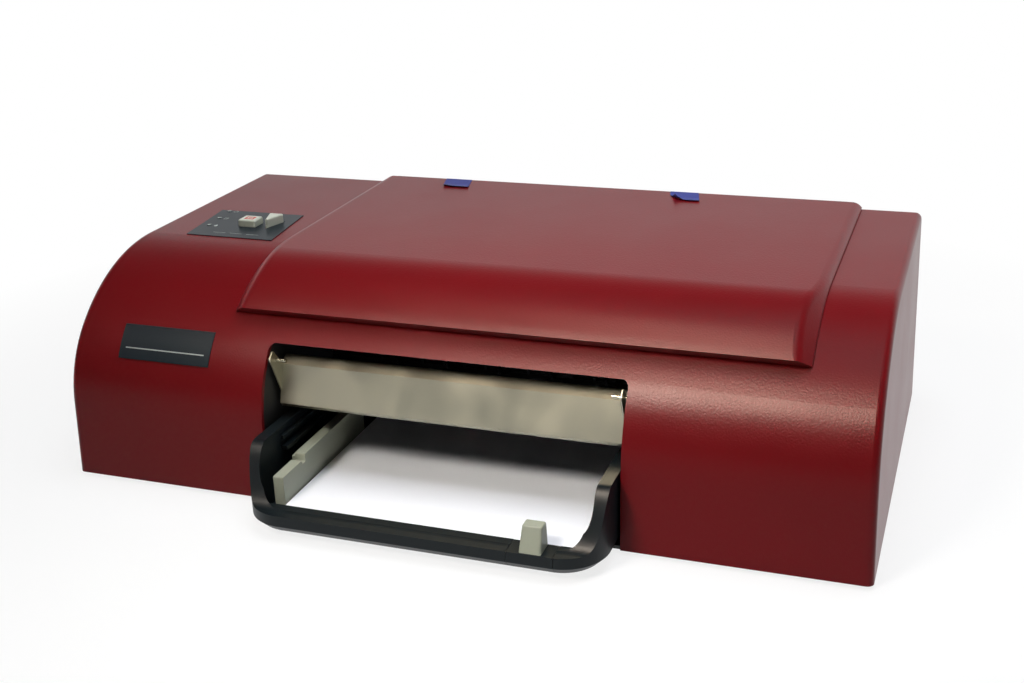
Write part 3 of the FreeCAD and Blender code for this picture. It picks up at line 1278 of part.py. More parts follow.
CARRIAGE_X = grown(STATION_X, -CARRIAGE_SIDE)
CARRIAGE_BACK = ROD_Y - ROD_RADIUS - CARRIAGE_WALL
POCKET_WIDTH = (CARRIAGE_X[1] - CARRIAGE_X[0] - CARRIAGE_WALL) / 2 - CARRIAGE_WALL
POCKET_Y = (CARRIAGE_FRONT + CARRIAGE_WALL, CARRIAGE_BACK - CARRIAGE_WALL)
POCKET_LOW = CARRIAGE_LOW + CARRIAGE_FLOOR
POCKETS = [
    (CARRIAGE_X[0] + CARRIAGE_WALL, CARRIAGE_X[0] + CARRIAGE_WALL + POCKET_WIDTH),
    (CARRIAGE_X[1] - CARRIAGE_WALL - POCKET_WIDTH, CARRIAGE_X[1] - CARRIAGE_WALL),
]
BELT_LOW_RUN = BELT_Z - BELT_RADIUS - BELT_THICK / 2


def carriage():
    """Print carriage: two cartridge pockets, a bearing block on the rod, a clip round the belt."""
    front = CARRIAGE_FRONT
    nose = CARRIAGE_HIGH - CARRIAGE_NOSE_DROP
    body = side_plate(
        [
            (front, CARRIAGE_LOW),
            (front, nose),
            (front + CARRIAGE_NOSE_DROP, CARRIAGE_HIGH),
            (CARRIAGE_BACK, CARRIAGE_HIGH),
            (CARRIAGE_BACK, CARRIAGE_LOW),
        ],
        CARRIAGE_X,
    )
    back_edge = ROD_Y + CARRIAGE_BLOCK - CARRIAGE_WALL
    bearing_z = around(ROD_Z, CARRIAGE_BLOCK + CARRIAGE_BLOCK)
    bearing = block(CARRIAGE_X, (CARRIAGE_BACK, back_edge), bearing_z)
    clip_y = (back_edge, BELT_Y + CLIP_REACH)
    clip = block(around(PARK_X, CLIP_WIDTH), clip_y, around(BELT_LOW_RUN, CLIP_HEIGHT))
    body = joined([body, bearing, clip])
    cutters = [bar_x(grown(CARRIAGE_X, OVERRUN), ROD_Y, ROD_Z, ROD_RADIUS + RUN_GAP)]
    for pocket in POCKETS:
        cutters.append(block(pocket, POCKET_Y, (POCKET_LOW, CARRIAGE_HIGH + OVERRUN)))
    belt_y = grown(around(BELT_Y, BELT_WIDTH), SEAT_GAP)
    belt_z = grown(around(BELT_LOW_RUN, BELT_THICK), SEAT_GAP)
    cutters.append(block(grown(CARRIAGE_X, OVERRUN), belt_y, belt_z))
    return body.cut(cutters)


def cartridge(pocket):
    """Ink cartridge: stepped body with a finger grip at its upper front."""
    front, rear = POCKET_Y[0] + SEAT_GAP, POCKET_Y[1] - SEAT_GAP
    low = POCKET_LOW + SEAT_GAP
    high = CARRIAGE_HIGH + CARTRIDGE_PROUD
    points = [
        (front, low),
        (front, CARRIAGE_HIGH - CARRIAGE_NOSE_DROP),
        (front + CARTRIDGE_GRIP, high),
        (front + CARTRIDGE_GRIP + CARTRIDGE_GRIP, high),
        (front + CARTRIDGE_GRIP + CARTRIDGE_GRIP, high - CARTRIDGE_STEP),
        (rear, high - CARTRIDGE_STEP),
        (rear, low),
    ]
    body = side_plate(points, grown(pocket, -SEAT_GAP))
    return rounded_along(body, X_AXIS, CARTRIDGE_EDGE_RADIUS)


def belt_loop(radius):
    """The belt's run round both pulleys, filled, at a given distance from their axes."""
    y = around(BELT_Y, BELT_WIDTH)
    ends = [bar_y(x, y, BELT_Z, radius) for x in (IDLER_X, DRIVE_X)]
    return joined([block((IDLER_X, DRIVE_X), y, around(BELT_Z, radius + radius))] + ends)


def drive_belt():
    """Belt round both pulleys."""
    return belt_loop(BELT_RADIUS + BELT_THICK).cut(belt_loop(BELT_RADIUS))


def pulley(x, bore):
    """Toothed pulley with a flange on each side of the belt."""
    y = grown(around(BELT_Y, BELT_WIDTH), SEAT_GAP)
    body = bar_y(x, y, BELT_Z, PULLEY_RADIUS)
    cutters = [bar_y(x, grown(y, OVERRUN), BELT_Z, bore)]
    for index in range(PULLEY_TEETH):
        angle = 2 * math.pi * index / PULLEY_TEETH
        groove_x, groove_z = polar((x, BELT_Z), PULLEY_RADIUS, angle)
        cutters.append(bar_y(groove_x, grown(y, OVERRUN), groove_z, PULLEY_GROOVE))
    body = body.cut(cutters[1:])
    rim = BELT_RADIUS + BELT_THICK + PULLEY_FLANGE
    sides = [(y[0] - PULLEY_FLANGE_THICK, y[0]), (y[1], y[1] + PULLEY_FLANGE_THICK)]
    flanges = [bar_y(x, side, BELT_Z, rim) for side in sides]
    return joined([body] + flanges).cut(cutters[0])


PULLEY_Y = grown(around(BELT_Y, BELT_WIDTH), SEAT_GAP + PULLEY_FLANGE_THICK)
STUD_HEAD_Y = (PULLEY_Y[0] - SEAT_GAP - STUD_HEAD, PULLEY_Y[0] - SEAT_GAP)


def idler_stud():
    """Headed stud that carries the idler pulley on the beam, with a shoulder behind the pulley."""
    head = bar_y(IDLER_X, STUD_HEAD_Y, BELT_Z, STUD_HEAD_RADIUS)
    shank = bar_y(IDLER_X, (STUD_HEAD_Y[1], BEAM_Y), BELT_Z, STUD_RADIUS)
    shoulder = bar_y(IDLER_X, (PULLEY_Y[1] + SEAT_GAP, BEAM_Y), BELT_Z, STUD_HEAD_RADIUS)
    return joined([head, shank, shoulder])


CARRIAGE_MOTOR_Y = (BEAM_Y + FRAME_SHEET, BEAM_Y + FRAME_SHEET + CARRIAGE_MOTOR_LENGTH)


def drive_shaft():
    """Motor shaft through the beam, carrying the drive pulley."""
    y = (STUD_HEAD_Y[0], CARRIAGE_MOTOR_Y[0] + SHAFT_BITE)
    return bar_y(DRIVE_X, y, BELT_Z, STUD_RADIUS - RUN_GAP)


def carriage_motor():
    """Can motor behind the beam."""
    cap = (CARRIAGE_MOTOR_Y[1], CARRIAGE_MOTOR_Y[1] + MOTOR_CAP_LENGTH)
    can = bar_y(DRIVE_X, CARRIAGE_MOTOR_Y, BELT_Z, CARRIAGE_MOTOR_RADIUS)
    cover = bar_y(DRIVE_X, cap, BELT_Z, CARRIAGE_MOTOR_RADIUS * MOTOR_CAP_SHARE)
    end = bar_y(DRIVE_X, (cap[1], cap[1] + MOTOR_BOSS), BELT_Z, MOTOR_BOSS_RADIUS)
    well = (CARRIAGE_MOTOR_Y[0] - OVERRUN, CARRIAGE_MOTOR_Y[0] + SHAFT_BITE + SEAT_GAP)
    return joined([can, cover, end]).cut(bar_y(DRIVE_X, well, BELT_Z, STUD_RADIUS))


def encoder_strip():
    """Thin position strip stretched between the frames."""
    y = around(REAR_Y - STRIP_INSET, STRIP_THICK)
    low = BELT_Z + STUD_HEAD_RADIUS + STRIP_RISE
    return block(BETWEEN_FRAMES, y, (low, low + STRIP_HEIGHT))


PLATEN_X = (BETWEEN_FRAMES[0], STATION_X[0] - SEAT_GAP)
PLATEN_Y = (REAR_Y - PLATEN_FRONT_INSET, REAR_Y - PLATEN_REAR_INSET)


def platen():
    """Plate under the carriage with turned-down edges and paper ribs."""
    plate_top = PLATEN_TOP - PLATEN_RIB_HEIGHT
    skirt_z = (plate_top - PLATEN_SKIRT, plate_top)
    pieces = [block(PLATEN_X, PLATEN_Y, (plate_top - PLATEN_PLATE, plate_top))]
    for y in (PLATEN_Y[0], PLATEN_Y[1] - PLATEN_PLATE):
        pieces.append(block(PLATEN_X, (y, y + PLATEN_PLATE), skirt_z))
    count = int((TRAY_INNER + TRAY_INNER) / PLATEN_RIB_PITCH)
    first = -PLATEN_RIB_PITCH * (count - 1) / 2
    for index in range(count):
        x = around(first + PLATEN_RIB_PITCH * index, PLATEN_RIB)
        pieces.append(block(x, PLATEN_Y, (plate_top, PLATEN_TOP)))
    return joined(pieces)


def service_station():
    """Parking block with a rimmed cap under each cartridge and a wiper."""
    y = (PLATEN_Y[0], PLATEN_Y[1] - CARRIAGE_REAR_GAP)
    body = rounded_along(block(STATION_X, y, (PAN_TOP, PLATEN_TOP)), Z_AXIS, CARRIAGE_WALL)
    pieces = [body]
    cap_y = around(sum(y) / 2, STATION_CAP_LENGTH)
    for pocket in POCKETS:
        cap_x = around(sum(pocket) / 2, STATION_CAP_WIDTH)
        ring = block(cap_x, cap_y, (PLATEN_TOP, PLATEN_TOP + STATION_CAP_RISE))
        cup_x, cup_y = grown(cap_x, -STATION_CAP_WALL), grown(cap_y, -STATION_CAP_WALL)
        cup = block(cup_x, cup_y, (PLATEN_TOP, TOP_Z))
        pieces.append(rounded_along(ring, Z_AXIS, STATION_CAP_WALL).cut(cup))
    wiper_y = around(cap_y[1] + STATION_CAP_WALL + STATION_CAP_WALL, STATION_WIPER)
    wiper_x = grown((POCKETS[0][0], POCKETS[1][1]), -STATION_CAP_WALL)
    pieces.append(block(wiper_x, wiper_y, (PLATEN_TOP, PLATEN_TOP + STATION_WIPER_RISE)))
    return joined(pieces)


def places(count, pitch):
    """Evenly spaced X places about the middle of the mouth."""
    return [pitch * (index - (count - 1) / 2) for index in range(count)]


def feed_shaft():
    """Feed shaft with a drum under each tyre."""
    body = bar_x(THROUGH_FRAMES, FEED_Y, FEED_Z, FEED_SHAFT_RADIUS)
    drums = []
    for x in places(TYRE_COUNT, TYRE_PITCH):
        drums.append(bar_x(around(x, TYRE_WIDTH), FEED_Y, FEED_Z, FEED_HUB_RADIUS))
    return joined([body] + drums)


def feed_tyres():
    """Rubber tyres on the drums of the feed shaft."""
    tyres = []
    for x in places(TYRE_COUNT, TYRE_PITCH):
        span = around(x, TYRE_WIDTH)
        outer = bar_x(span, FEED_Y, FEED_Z, TYRE_RADIUS)
        outer = outer.makeChamfer(TYRE_CHAMFER, [edge for edge in outer.Edges if edge.Closed])
        tyres.append(outer.cut(bar_x(span, FEED_Y, FEED_Z, FEED_HUB_RADIUS + RUN_GAP)))
    return tyres


def involute(angle):
    """Involute function of an angle."""
    return math.tan(angle) - angle


def gear_face(teeth, turn):
    """Outline of a spur gear across X about the origin, with involute flanks."""
    pitch_radius = GEAR_MODULE * teeth / 2
    pressure = math.radians(PRESSURE_ANGLE)
    base = pitch_radius * math.cos(pressure)
    tip = pitch_radius + GEAR_MODULE
    root = pitch_radius - GEAR_MODULE * DEDENDUM_SHARE
    half = math.pi / (2 * teeth) - GEAR_BACKLASH / (2 * pitch_radius) + involute(pressure)
    start = max(base, root)
    radii = [start + (tip - start) * step / FLANK_STEPS for step in range(FLANK_STEPS + 1)]

    def point(radius, angle):
        y, z = polar((0, 0), radius, angle)
        return V(0, y, z)

    def spread(radius):
        return half - involute(math.acos(min(1.0, base / radius)))

    edges = []
    for index in range(teeth):
        middle = turn + 2 * math.pi * index / teeth
        following = middle + 2 * math.pi / teeth
        rising = [point(r, middle - spread(r)) for r in radii]
        falling = [point(r, middle + spread(r)) for r in reversed(radii)]
        foot = point(root, middle - spread(start))
        heel = point(root, middle + spread(start))
        next_foot = point(root, following - spread(start))
        for flank in (rising, falling):
            curve = Part.BSplineCurve()
            curve.interpolate(flank)
            edges.append(curve.toShape())
        edges.insert(-1, Part.Arc(rising[-1], point(tip, middle), falling[0]).toShape())
        if root < start:
            edges.insert(-3, Part.makeLine(foot, rising[0]))
            edges.append(Part.makeLine(falling[-1], heel))
        valley = point(root, (middle + following) / 2)
        edges.append(Part.Arc(edges[-1].Vertexes[-1].Point, valley, next_foot).toShape())
    return Part.Face(Part.Wire(Part.__sortEdges__(edges)))


def gear(teeth, y, z, turn):
    """Spur gear of the feed drive about an axis along X."""
    face = gear_face(teeth, turn)
    face.translate(V(FEED_GEAR_X[0], y, z))
    return face.extrude(V(GEAR_WIDTH, 0, 0))


def feed_gear():
    """Large gear on the feed shaft, with a thinned web between hub and rim."""
    body = gear(FEED_GEAR_TEETH, FEED_Y, FEED_Z, math.radians(PINION_ANGLE))
    rim = GEAR_MODULE * FEED_GEAR_TEETH / 2 - GEAR_MODULE * DEDENDUM_SHARE - GEAR_RIM
    middle = sum(FEED_GEAR_X) / 2
    for x in ((FEED_GEAR_X[0], middle - GEAR_WEB / 2), (middle + GEAR_WEB / 2, FEED_GEAR_X[1])):
        ring = bar_x(x, FEED_Y, FEED_Z, rim).cut(bar_x(x, FEED_Y, FEED_Z, GEAR_HUB_RADIUS))
        body = body.cut(ring)
    return body.cut(bar_x(FEED_GEAR_X, FEED_Y, FEED_Z, FEED_SHAFT_RADIUS + RUN_GAP))


def feed_pinion():
    """Motor pinion with its shaft through the right frame."""
    turn = math.radians(PINION_ANGLE) + math.pi + math.pi / PINION_TEETH
    teeth = gear(PINION_TEETH, PINION_Y, PINION_Z, turn)
    reach = (FEED_GEAR_X[0], RIGHT_FRAME + FRAME_SHEET + SHAFT_BITE)
    return joined([teeth, bar_x(reach, PINION_Y, PINION_Z, PINION_SHAFT_RADIUS)])


def feed_motor():
    """Can motor outside the right frame."""
    start = RIGHT_FRAME + FRAME_SHEET
    x = (start, start + FEED_MOTOR_LENGTH)
    cap = (x[1], x[1] + MOTOR_CAP_LENGTH)
    can = bar_x(x, PINION_Y, PINION_Z, FEED_MOTOR_RADIUS)
    cover = bar_x(cap, PINION_Y, PINION_Z, FEED_MOTOR_RADIUS * MOTOR_CAP_SHARE)
    end = bar_x((cap[1], cap[1] + MOTOR_BOSS), PINION_Y, PINION_Z, MOTOR_BOSS_RADIUS)
    well = (start - OVERRUN, start + SHAFT_BITE + SEAT_GAP)
    return joined([can, cover, end]).cut(bar_x(well, PINION_Y, PINION_Z, PINION_SHAFT_RADIUS + RUN_GAP))


def paper_guide():
    """Curved guide that turns the paper round the feed roller, on an upright stand."""
    inner = TYRE_RADIUS + GUIDE_ARC_GAP
    outer = inner + GUIDE_ARC_WALL
    x = (BETWEEN_FRAMES[0], FEED_GEAR_X[0] - GEAR_FRAME_GAP)
    low, high = math.radians(GUIDE_ARC_LOW), math.radians(GUIDE_ARC_HIGH)
    axis = (FEED_Y, FEED_Z)

    def at(radius, angle):
        y, z = polar(axis, radius, angle)
        return V(x[0], y, z)

    middle = (low + high) / 2
    edges = [
        Part.Arc(at(inner, low), at(inner, middle), at(inner, high)).toShape(),
        Part.makeLine(at(inner, high), at(outer, high)),
        Part.Arc(at(outer, high), at(outer, middle), at(outer, low)).toShape(),
        Part.makeLine(at(outer, low), at(inner, low)),
    ]
    shell = Part.Face(Part.Wire(edges)).extrude(V(x[1] - x[0], 0, 0))
    stand_y = (FEED_Y + outer - GUIDE_ARC_WALL, FEED_Y + outer)
    return joined([shell, block(x, stand_y, (PAN_TOP, FEED_Z))])


def pinch_rollers():
    """Small rollers on one shaft above the feed tyres."""
    xs = places(TYRE_COUNT, TYRE_PITCH)
    reach = grown((xs[0], xs[-1]), TYRE_PITCH / 2 + PINCH_HOLDER_WIDTH / 2)
    shaft = bar_x(reach, PINCH_Y, PINCH_Z, PINCH_SHAFT_RADIUS)
    return joined([shaft] + [bar_x(around(x, TYRE_WIDTH), PINCH_Y, PINCH_Z, PINCH_RADIUS) for x in xs])


def pinch_holders():
    """Arms on the beam that carry the pinch shaft between its rollers."""
    holders = []
    z = (PINCH_Z - PINCH_HOLDER_DROP, PINCH_Z + PINCH_HOLDER_RISE)
    for x in places(TYRE_COUNT + 1, TYRE_PITCH):
        arm = block(around(x, PINCH_HOLDER_WIDTH), (PINCH_Y - PINCH_HOLDER_DROP, BEAM_Y), z)
        nose = [edge for edge in edges_along(arm, X_AXIS) if edge.CenterOfMass.y < PINCH_Y]
        arm = arm.makeFillet(PINCH_HOLDER_DROP / 2, nose)
        bore = bar_x(around(x, TYRE_PITCH), PINCH_Y, PINCH_Z, PINCH_SHAFT_RADIUS + RUN_GAP)
        holders.append(arm.cut(bore))
    return holders


def exit_shaft():
    """Shaft of the exit roller."""
    return bar_x(THROUGH_FRAMES, EXIT_Y, EXIT_Z, EXIT_SHAFT_RADIUS)


def exit_wheels():
    """Rubber wheels on the exit shaft."""
    wheels = []
    for x in places(EXIT_WHEEL_COUNT, EXIT_WHEEL_PITCH):
        span = around(x, EXIT_WHEEL_WIDTH)
        wheel = bar_x(span, EXIT_Y, EXIT_Z, EXIT_WHEEL_RADIUS)
        wheels.append(wheel.cut(bar_x(span, EXIT_Y, EXIT_Z, EXIT_SHAFT_RADIUS + RUN_GAP)))
    return wheels


def star_wheels():
    """Spurred wheels on a thin shaft above the exit roller."""
    pieces = [bar_x(THROUGH_FRAMES, EXIT_Y, STAR_Z, STAR_SHAFT_RADIUS)]
    for x in places(EXIT_WHEEL_COUNT, EXIT_WHEEL_PITCH):
        points = []
        for index in range(STAR_POINTS):
            for reach, lag in ((STAR_RADIUS, 0), (STAR_RADIUS - STAR_NOTCH, STAR_NOTCH_SHARE)):
                angle = 2 * math.pi * (index + lag) / STAR_POINTS
                points.append(polar((EXIT_Y, STAR_Z), reach, angle))
        pieces.append(side_plate(points, around(x, STAR_THICK)))
    return joined(pieces)


SIDE_SPAN = (SHELL_WALL + SUPPLY_MARGIN + PAN_WALL - HALF_WIDTH, LEFT_FRAME - FRAME_FOOT - MAIN_MARGIN)


def power_supply():
    """Boxed supply on the pan with vent slots in its lid."""
    x = SIDE_SPAN
    y = (FRONT_Y + SUPPLY_FRONT, FRONT_Y + SUPPLY_REAR)
    top = PAN_TOP + SUPPLY_HEIGHT
    body = block(x, y, (PAN_TOP, top))
    upper = [edge for edge in body.Edges if edge.BoundBox.ZMin > top - SEAT_GAP]
    body = body.makeFillet(SUPPLY_EDGE_RADIUS, upper + edges_along(body, Z_AXIS))
    cutters = []
    for index in range(SUPPLY_VENT_COUNT):
        middle = y[0] + (y[1] - y[0]) * (index + 1) / (SUPPLY_VENT_COUNT + 1)
        slot_x = grown(x, -SUPPLY_MARGIN - SUPPLY_MARGIN)
        slot_z = (top - SUPPLY_VENT_DEPTH, top + OVERRUN)
        cutters.append(block(slot_x, around(middle, SUPPLY_VENT_WIDTH), slot_z))
    return body.cut(cutters)


MAIN_Y = (FRONT_Y + MAIN_FRONT, PANEL_Y - PANEL_THICK - PAN_WALL - MAIN_REAR_GAP)


def board_posts():
    """Posts under the main board."""
    xs = grown(SIDE_SPAN, -MAIN_POST_RADIUS)
    ys = grown(MAIN_Y, -MAIN_POST_RADIUS)
    return [bar_z(x, y, (PAN_TOP, MAIN_LOW), MAIN_POST_RADIUS) for x in xs for y in ys]


def main_board():
    """Main circuit board."""
    return block(SIDE_SPAN, MAIN_Y, (MAIN_LOW, MAIN_TOP))


def board_parts():
    """Chips, a finned heat sink and capacitors on the main board."""
    x0, x1 = SIDE_SPAN
    y0, y1 = MAIN_Y
    parts = []
    chip_z = (MAIN_TOP, MAIN_TOP + CHIP_HEIGHT)
    for share in CHIP_SHARES:
        chip_x = around(x0 + (x1 - x0) * share, CHIP_SIZE)
        chip_y = around(y0 + (y1 - y0) * share, CHIP_SIZE)
        parts.append(block(chip_x, chip_y, chip_z))
    sink_left = x0 + (x1 - x0) * SINK_SHARE
    sink_x = (sink_left, sink_left + SINK_PITCH * (SINK_FIN_COUNT - 1) + SINK_FIN)
    sink_y = (y0 + CHIP_SIZE / 2, y0 + CHIP_SIZE / 2 + SINK_LENGTH)
    sink = [block(sink_x, sink_y, (MAIN_TOP, MAIN_TOP + SINK_FOOT))]
    for index in range(SINK_FIN_COUNT):
        fin = sink_x[0] + SINK_PITCH * index
        sink.append(block((fin, fin + SINK_FIN), sink_y, (MAIN_TOP, MAIN_TOP + SINK_HEIGHT)))
    parts.append(joined(sink))
    for index in range(CAP_COUNT):
        y = y0 + CHIP_SIZE + CAP_PITCH * index
        parts.append(bar_z(x0 + CHIP_SIZE / 2, y, (MAIN_TOP, MAIN_TOP + CAP_HEIGHT), CAP_RADIUS))
    return parts


def build():
    """Write every node of the printer."""
    os.makedirs("parts", exist_ok=True)
    save("housing_shell", housing_shell())
    save("base_pan", base_pan())
    save("rubber_feet", *rubber_feet())
    save("rear_panel", rear_panel())
    save("rear_panel_screws", *rear_panel_screws())
    save("power_inlet", power_inlet())
    save("data_socket", data_socket())
    save("front_plate", front_plate())
    save("mouth_liner", mouth_liner())
    save("lid", lid())
    save("hinge_lugs", *hinge_lugs())
    save("hinge_pins", *hinge_pins())
    save("tape_tabs", *tape_tabs())
    save("panel_overlay", panel_overlay())
    save("panel_lamps", *panel_lamps())
    for name, (face, rise) in KEYS.items():
        save(name, key(face, rise))
    save("key_board", key_board())
    save("key_switches", *key_switches())
    save("exit_flap", exit_flap())
    save("flap_pins", *flap_pins())
    save("paper_tray", paper_tray())
    save("width_guide", width_guide())
    save("length_slider", length_slider())
    save("length_guide", length_guide())
    save("left_frame", frame(LEFT_FRAME, -1, SHAFT_HOLES))
    save("right_frame", frame(RIGHT_FRAME, 1, SHAFT_HOLES + PINION_HOLE))
    save("rear_beam", rear_beam())
    save("guide_rod", guide_rod())
    save("carriage", carriage())
    save("black_cartridge", cartridge(POCKETS[1]))
    save("colour_cartridge", cartridge(POCKETS[0]))
    save("drive_belt", drive_belt())
    save("idler_pulley", pulley(IDLER_X, STUD_RADIUS + RUN_GAP))
    save("drive_pulley", pulley(DRIVE_X, STUD_RADIUS))
    save("idler_stud", idler_stud())
    save("drive_shaft", drive_shaft())
    save("carriage_motor", carriage_motor())
    save("encoder_strip", encoder_strip())
    save("platen", platen())
    save("service_station", service_station())
    save("feed_shaft", feed_shaft())
    save("feed_tyres", *feed_tyres())
    save("feed_gear", feed_gear())
    save("feed_pinion", feed_pinion())
    save("feed_motor", feed_motor())
    save("paper_guide", paper_guide())
    save("pinch_rollers", pinch_rollers())
    save("pinch_holders", *pinch_holders())
    save("exit_shaft", exit_shaft())
    save("exit_wheels", *exit_wheels())
    save("star_wheels", star_wheels())
    save("power_supply", power_supply())
    save("board_posts", *board_posts())
    save("main_board", main_board())
    save("board_parts", *board_parts())


build()
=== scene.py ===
import math
import random

import bmesh
import bpy
from mathutils import Matrix, Vector
from mathutils.bvhtree import BVHTree


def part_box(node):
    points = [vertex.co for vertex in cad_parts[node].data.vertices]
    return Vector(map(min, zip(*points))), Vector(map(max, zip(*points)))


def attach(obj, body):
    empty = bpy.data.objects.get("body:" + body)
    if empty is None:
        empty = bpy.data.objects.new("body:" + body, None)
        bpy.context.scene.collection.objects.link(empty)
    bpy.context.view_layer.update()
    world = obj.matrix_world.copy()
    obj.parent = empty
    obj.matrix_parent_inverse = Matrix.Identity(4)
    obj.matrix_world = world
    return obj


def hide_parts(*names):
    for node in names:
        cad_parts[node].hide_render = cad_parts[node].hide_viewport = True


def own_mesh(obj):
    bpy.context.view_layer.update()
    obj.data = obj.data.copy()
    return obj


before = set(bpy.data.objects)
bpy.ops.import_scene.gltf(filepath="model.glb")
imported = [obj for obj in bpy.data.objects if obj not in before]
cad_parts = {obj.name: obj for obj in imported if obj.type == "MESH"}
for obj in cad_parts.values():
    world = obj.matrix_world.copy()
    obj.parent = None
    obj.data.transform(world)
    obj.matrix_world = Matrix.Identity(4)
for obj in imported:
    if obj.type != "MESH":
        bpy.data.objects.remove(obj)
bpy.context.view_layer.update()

bl_info = {
    "name": "Desk Printer Dressing",
    "version": (1, 0, 0),
    "blender": (4, 5, 0),
    "location": "3D View > Sidebar > Printer",
    "description": "Gives the packed desk printer its finishes, paper, tape, printed marks and studio stage",
    "category": "Object",
}

MM = 0.001
SEED = 11

# Boxes of the pieces that carry paper, tape or print.
TRAY_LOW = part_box("paper_tray")[0]
GUIDE_LOW, GUIDE_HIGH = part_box("width_guide")
OVERLAY_LOW, OVERLAY_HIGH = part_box("panel_overlay")
PLATE_LOW, PLATE_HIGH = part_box("front_plate")
STOP_LOW, STOP_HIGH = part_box("stop_key")
LID_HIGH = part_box("lid")[1]
LAMPS_LOW, LAMPS_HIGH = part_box("panel_lamps")
TABS_LOW, TABS_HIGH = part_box("tape_tabs")

# Paper: where it lies in the tray, and how unevenly its sheets are stacked. Levels are shares of a layer.
PAPER_SETBACK = 17.4 * MM
PAPER_BED = 2.15 * MM
PAPER_LAYERS = 16
LAYER_LEVELS = (0.04, 0.96)
PAPER_SLIP = 0.5 * MM
PAPER_SHIFT = 0.4 * MM

# Tape: the skew of a strip, the bend of its front edge and the corner that has come loose.
TAPE_SKEW = 6 * MM
TAPE_GAP = 0.04 * MM
TAPE_CELLS = 12
TAPE_SMOOTH = 50
BEND_RISE = 1.1 * MM
BEND_SHARE = 0.35
LOOSE_LENGTH_SHARE = 0.55
LOOSE_WIDTH_SHARE = 0.45
LOOSE_POWER = 1.4
LOOSE_RIGHT = 3 * MM
LOOSE_BACK = 4 * MM
LEFT_CURL = 0.25
RIGHT_CURL = 1.0

# Print: the thickness of ink, the signs' distance from their lamps, and the rule on the front plate.
INK = 0.05 * MM
SIGN_OFFSET = 6.5 * MM
RULE_INSET = 5 * MM
RULE_HEIGHT = 7 * MM
RULE_STROKE = 0.7 * MM
RAY_START = 1.0

# Print on the control panel, in millimetres and radians.
LAMP_COUNT = 3
SIGN_STROKE = 0.5
DROP_TIP = 2.6
DROP_RADIUS = 1.6
DROP_MIDDLE = -0.6
DROP_ANGLES = (2.5, 3.1, 3.7, 4.3, 4.9, 5.5, 6.1, 6.9)
RING_RADIUS = 2.2
RING_POINTS = 14
RING_FIRST = 2.0
RING_LAST = 7.4
DASHES = 3
DASH_START = 14
DASH_PITCH = 15
DASH_LOW = 9
DASH_LENGTH = 11
DASH_STROKE = 0.6
KEY_STROKE = 1.5

# Patterns of the finishes, in millimetres.
MOULD_DRIFT = 60
HANDLING_SMEAR = 35
LACQUER_DRIFT = 70
LACQUER_GRIT = 1.3
LACQUER_RELIEF = 0.1
FIBRE = 1.2
FIBRE_RELIEF = 0.01
SHEET_LINES = 0.5
BOARD_PATCH = 14
TRACK_PITCH = 2.5
TRACK_RELIEF = 0.03
STRIP_PITCH = 1.2
SWEEP_SPECK = 2.0

# Blender's wave pattern turns by this many radians per unit.
WAVE_RADIANS = 20

# Stage: how far the floor reaches each way in metres, and the camera's sensor in millimetres.
FLOOR_REACH = 6.0
SENSOR_WIDTH = 36


def linear(code):
    """Linear colour of an sRGB hex value."""
    parts = [int(code[i:i + 2], 16) / 255 for i in (0, 2, 4)]
    return [c / 12.92 if c <= 0.04045 else ((c + 0.055) / 1.055) ** 2.4 for c in parts]


def colour(name, description, code):
    """Colour property whose default is an sRGB hex value."""
    return bpy.props.FloatVectorProperty(
        name=name, description=description, subtype="COLOR", size=3, min=0, max=1, default=linear(code)
    )


def length(name, description, millimetres):
    """Length property whose default is in millimetres."""
    return bpy.props.FloatProperty(
        name=name, description=description, subtype="DISTANCE", unit="LENGTH", default=millimetres * MM
    )


def power(name, description, watts):
    """Power property of a lamp."""
    return bpy.props.FloatProperty(name=name, description=description, unit="POWER", default=watts)


class PrinterFinishes(bpy.types.PropertyGroup):
    """Colours of the printer's materials."""

    lacquer: colour("Lacquer", "Burgundy textured lacquer of the housing and the lid", "730f15")
    steel: colour("Steel", "Satin steel of the exit flap, the pins and the rods", "b6b4a2")
    tray: colour("Tray", "Charcoal plastic of the paper tray", "11191d")
    guide: colour("Guide", "Grey plastic of the paper guides", "989d8d")
    liner: colour("Liner", "Near-black plastic behind the mouth and at the rear", "14181a")
    film: colour("Film", "Slate film of the control panel and the front plate", "15222a")
    print_ink: colour("Print", "Pale ink of the marks on the control panel and the front plate", "a9b2ae")
    key: colour("Key", "Off-white plastic of the keys", "cdd2c2")
    key_mark: colour("Key mark", "Red ink on the square key", "c8382c")
    lamp: colour("Lamp", "Unlit lamp lens", "5f6b66")
    tape: colour("Tape", "Blue crepe tape", "2b388f")
    paper: colour("Paper", "Office paper", "f3f5fb")
    rubber: colour("Rubber", "Feet, tyres and belt", "1b1b1c")
    nylon: colour("Nylon", "Gears, pulleys and posts", "d9d3c2")
    board: colour("Board", "Solder mask of the circuit boards", "14502f")
    component: colour("Component", "Moulded electronic components", "202124")
    cartridge: colour("Cartridge", "Ink cartridges", "232325")
    carriage: colour("Carriage", "Carriage, holders and parking block", "4a4c50")
    zinc: colour("Zinc", "Zinc-plated frames, cans and screws", "a8a9a6")


class PrinterSizes(bpy.types.PropertyGroup):
    """Sizes of the pieces that the scene adds."""

    paper_width: length("Paper width", "Width of the loaded sheets", 215.9)
    paper_length: length("Paper length", "Length of the loaded sheets", 279.4)
    paper_stack: length("Stack height", "Height of the loaded sheets", 9.6)
    paper_gap: length("Paper gap", "Gap between the sheets and the tray's guide", 0.8)
    tape_width: length("Tape width", "Width of a strip of tape", 24.0)
    tape_length: length("Tape length", "Length of a strip of tape on the lid", 26.0)
    tape_thickness: length("Tape thickness", "Thickness of the tape", 0.25)
    tape_lift: length("Tape lift", "How far a loose corner of the tape curls up", 3.0)


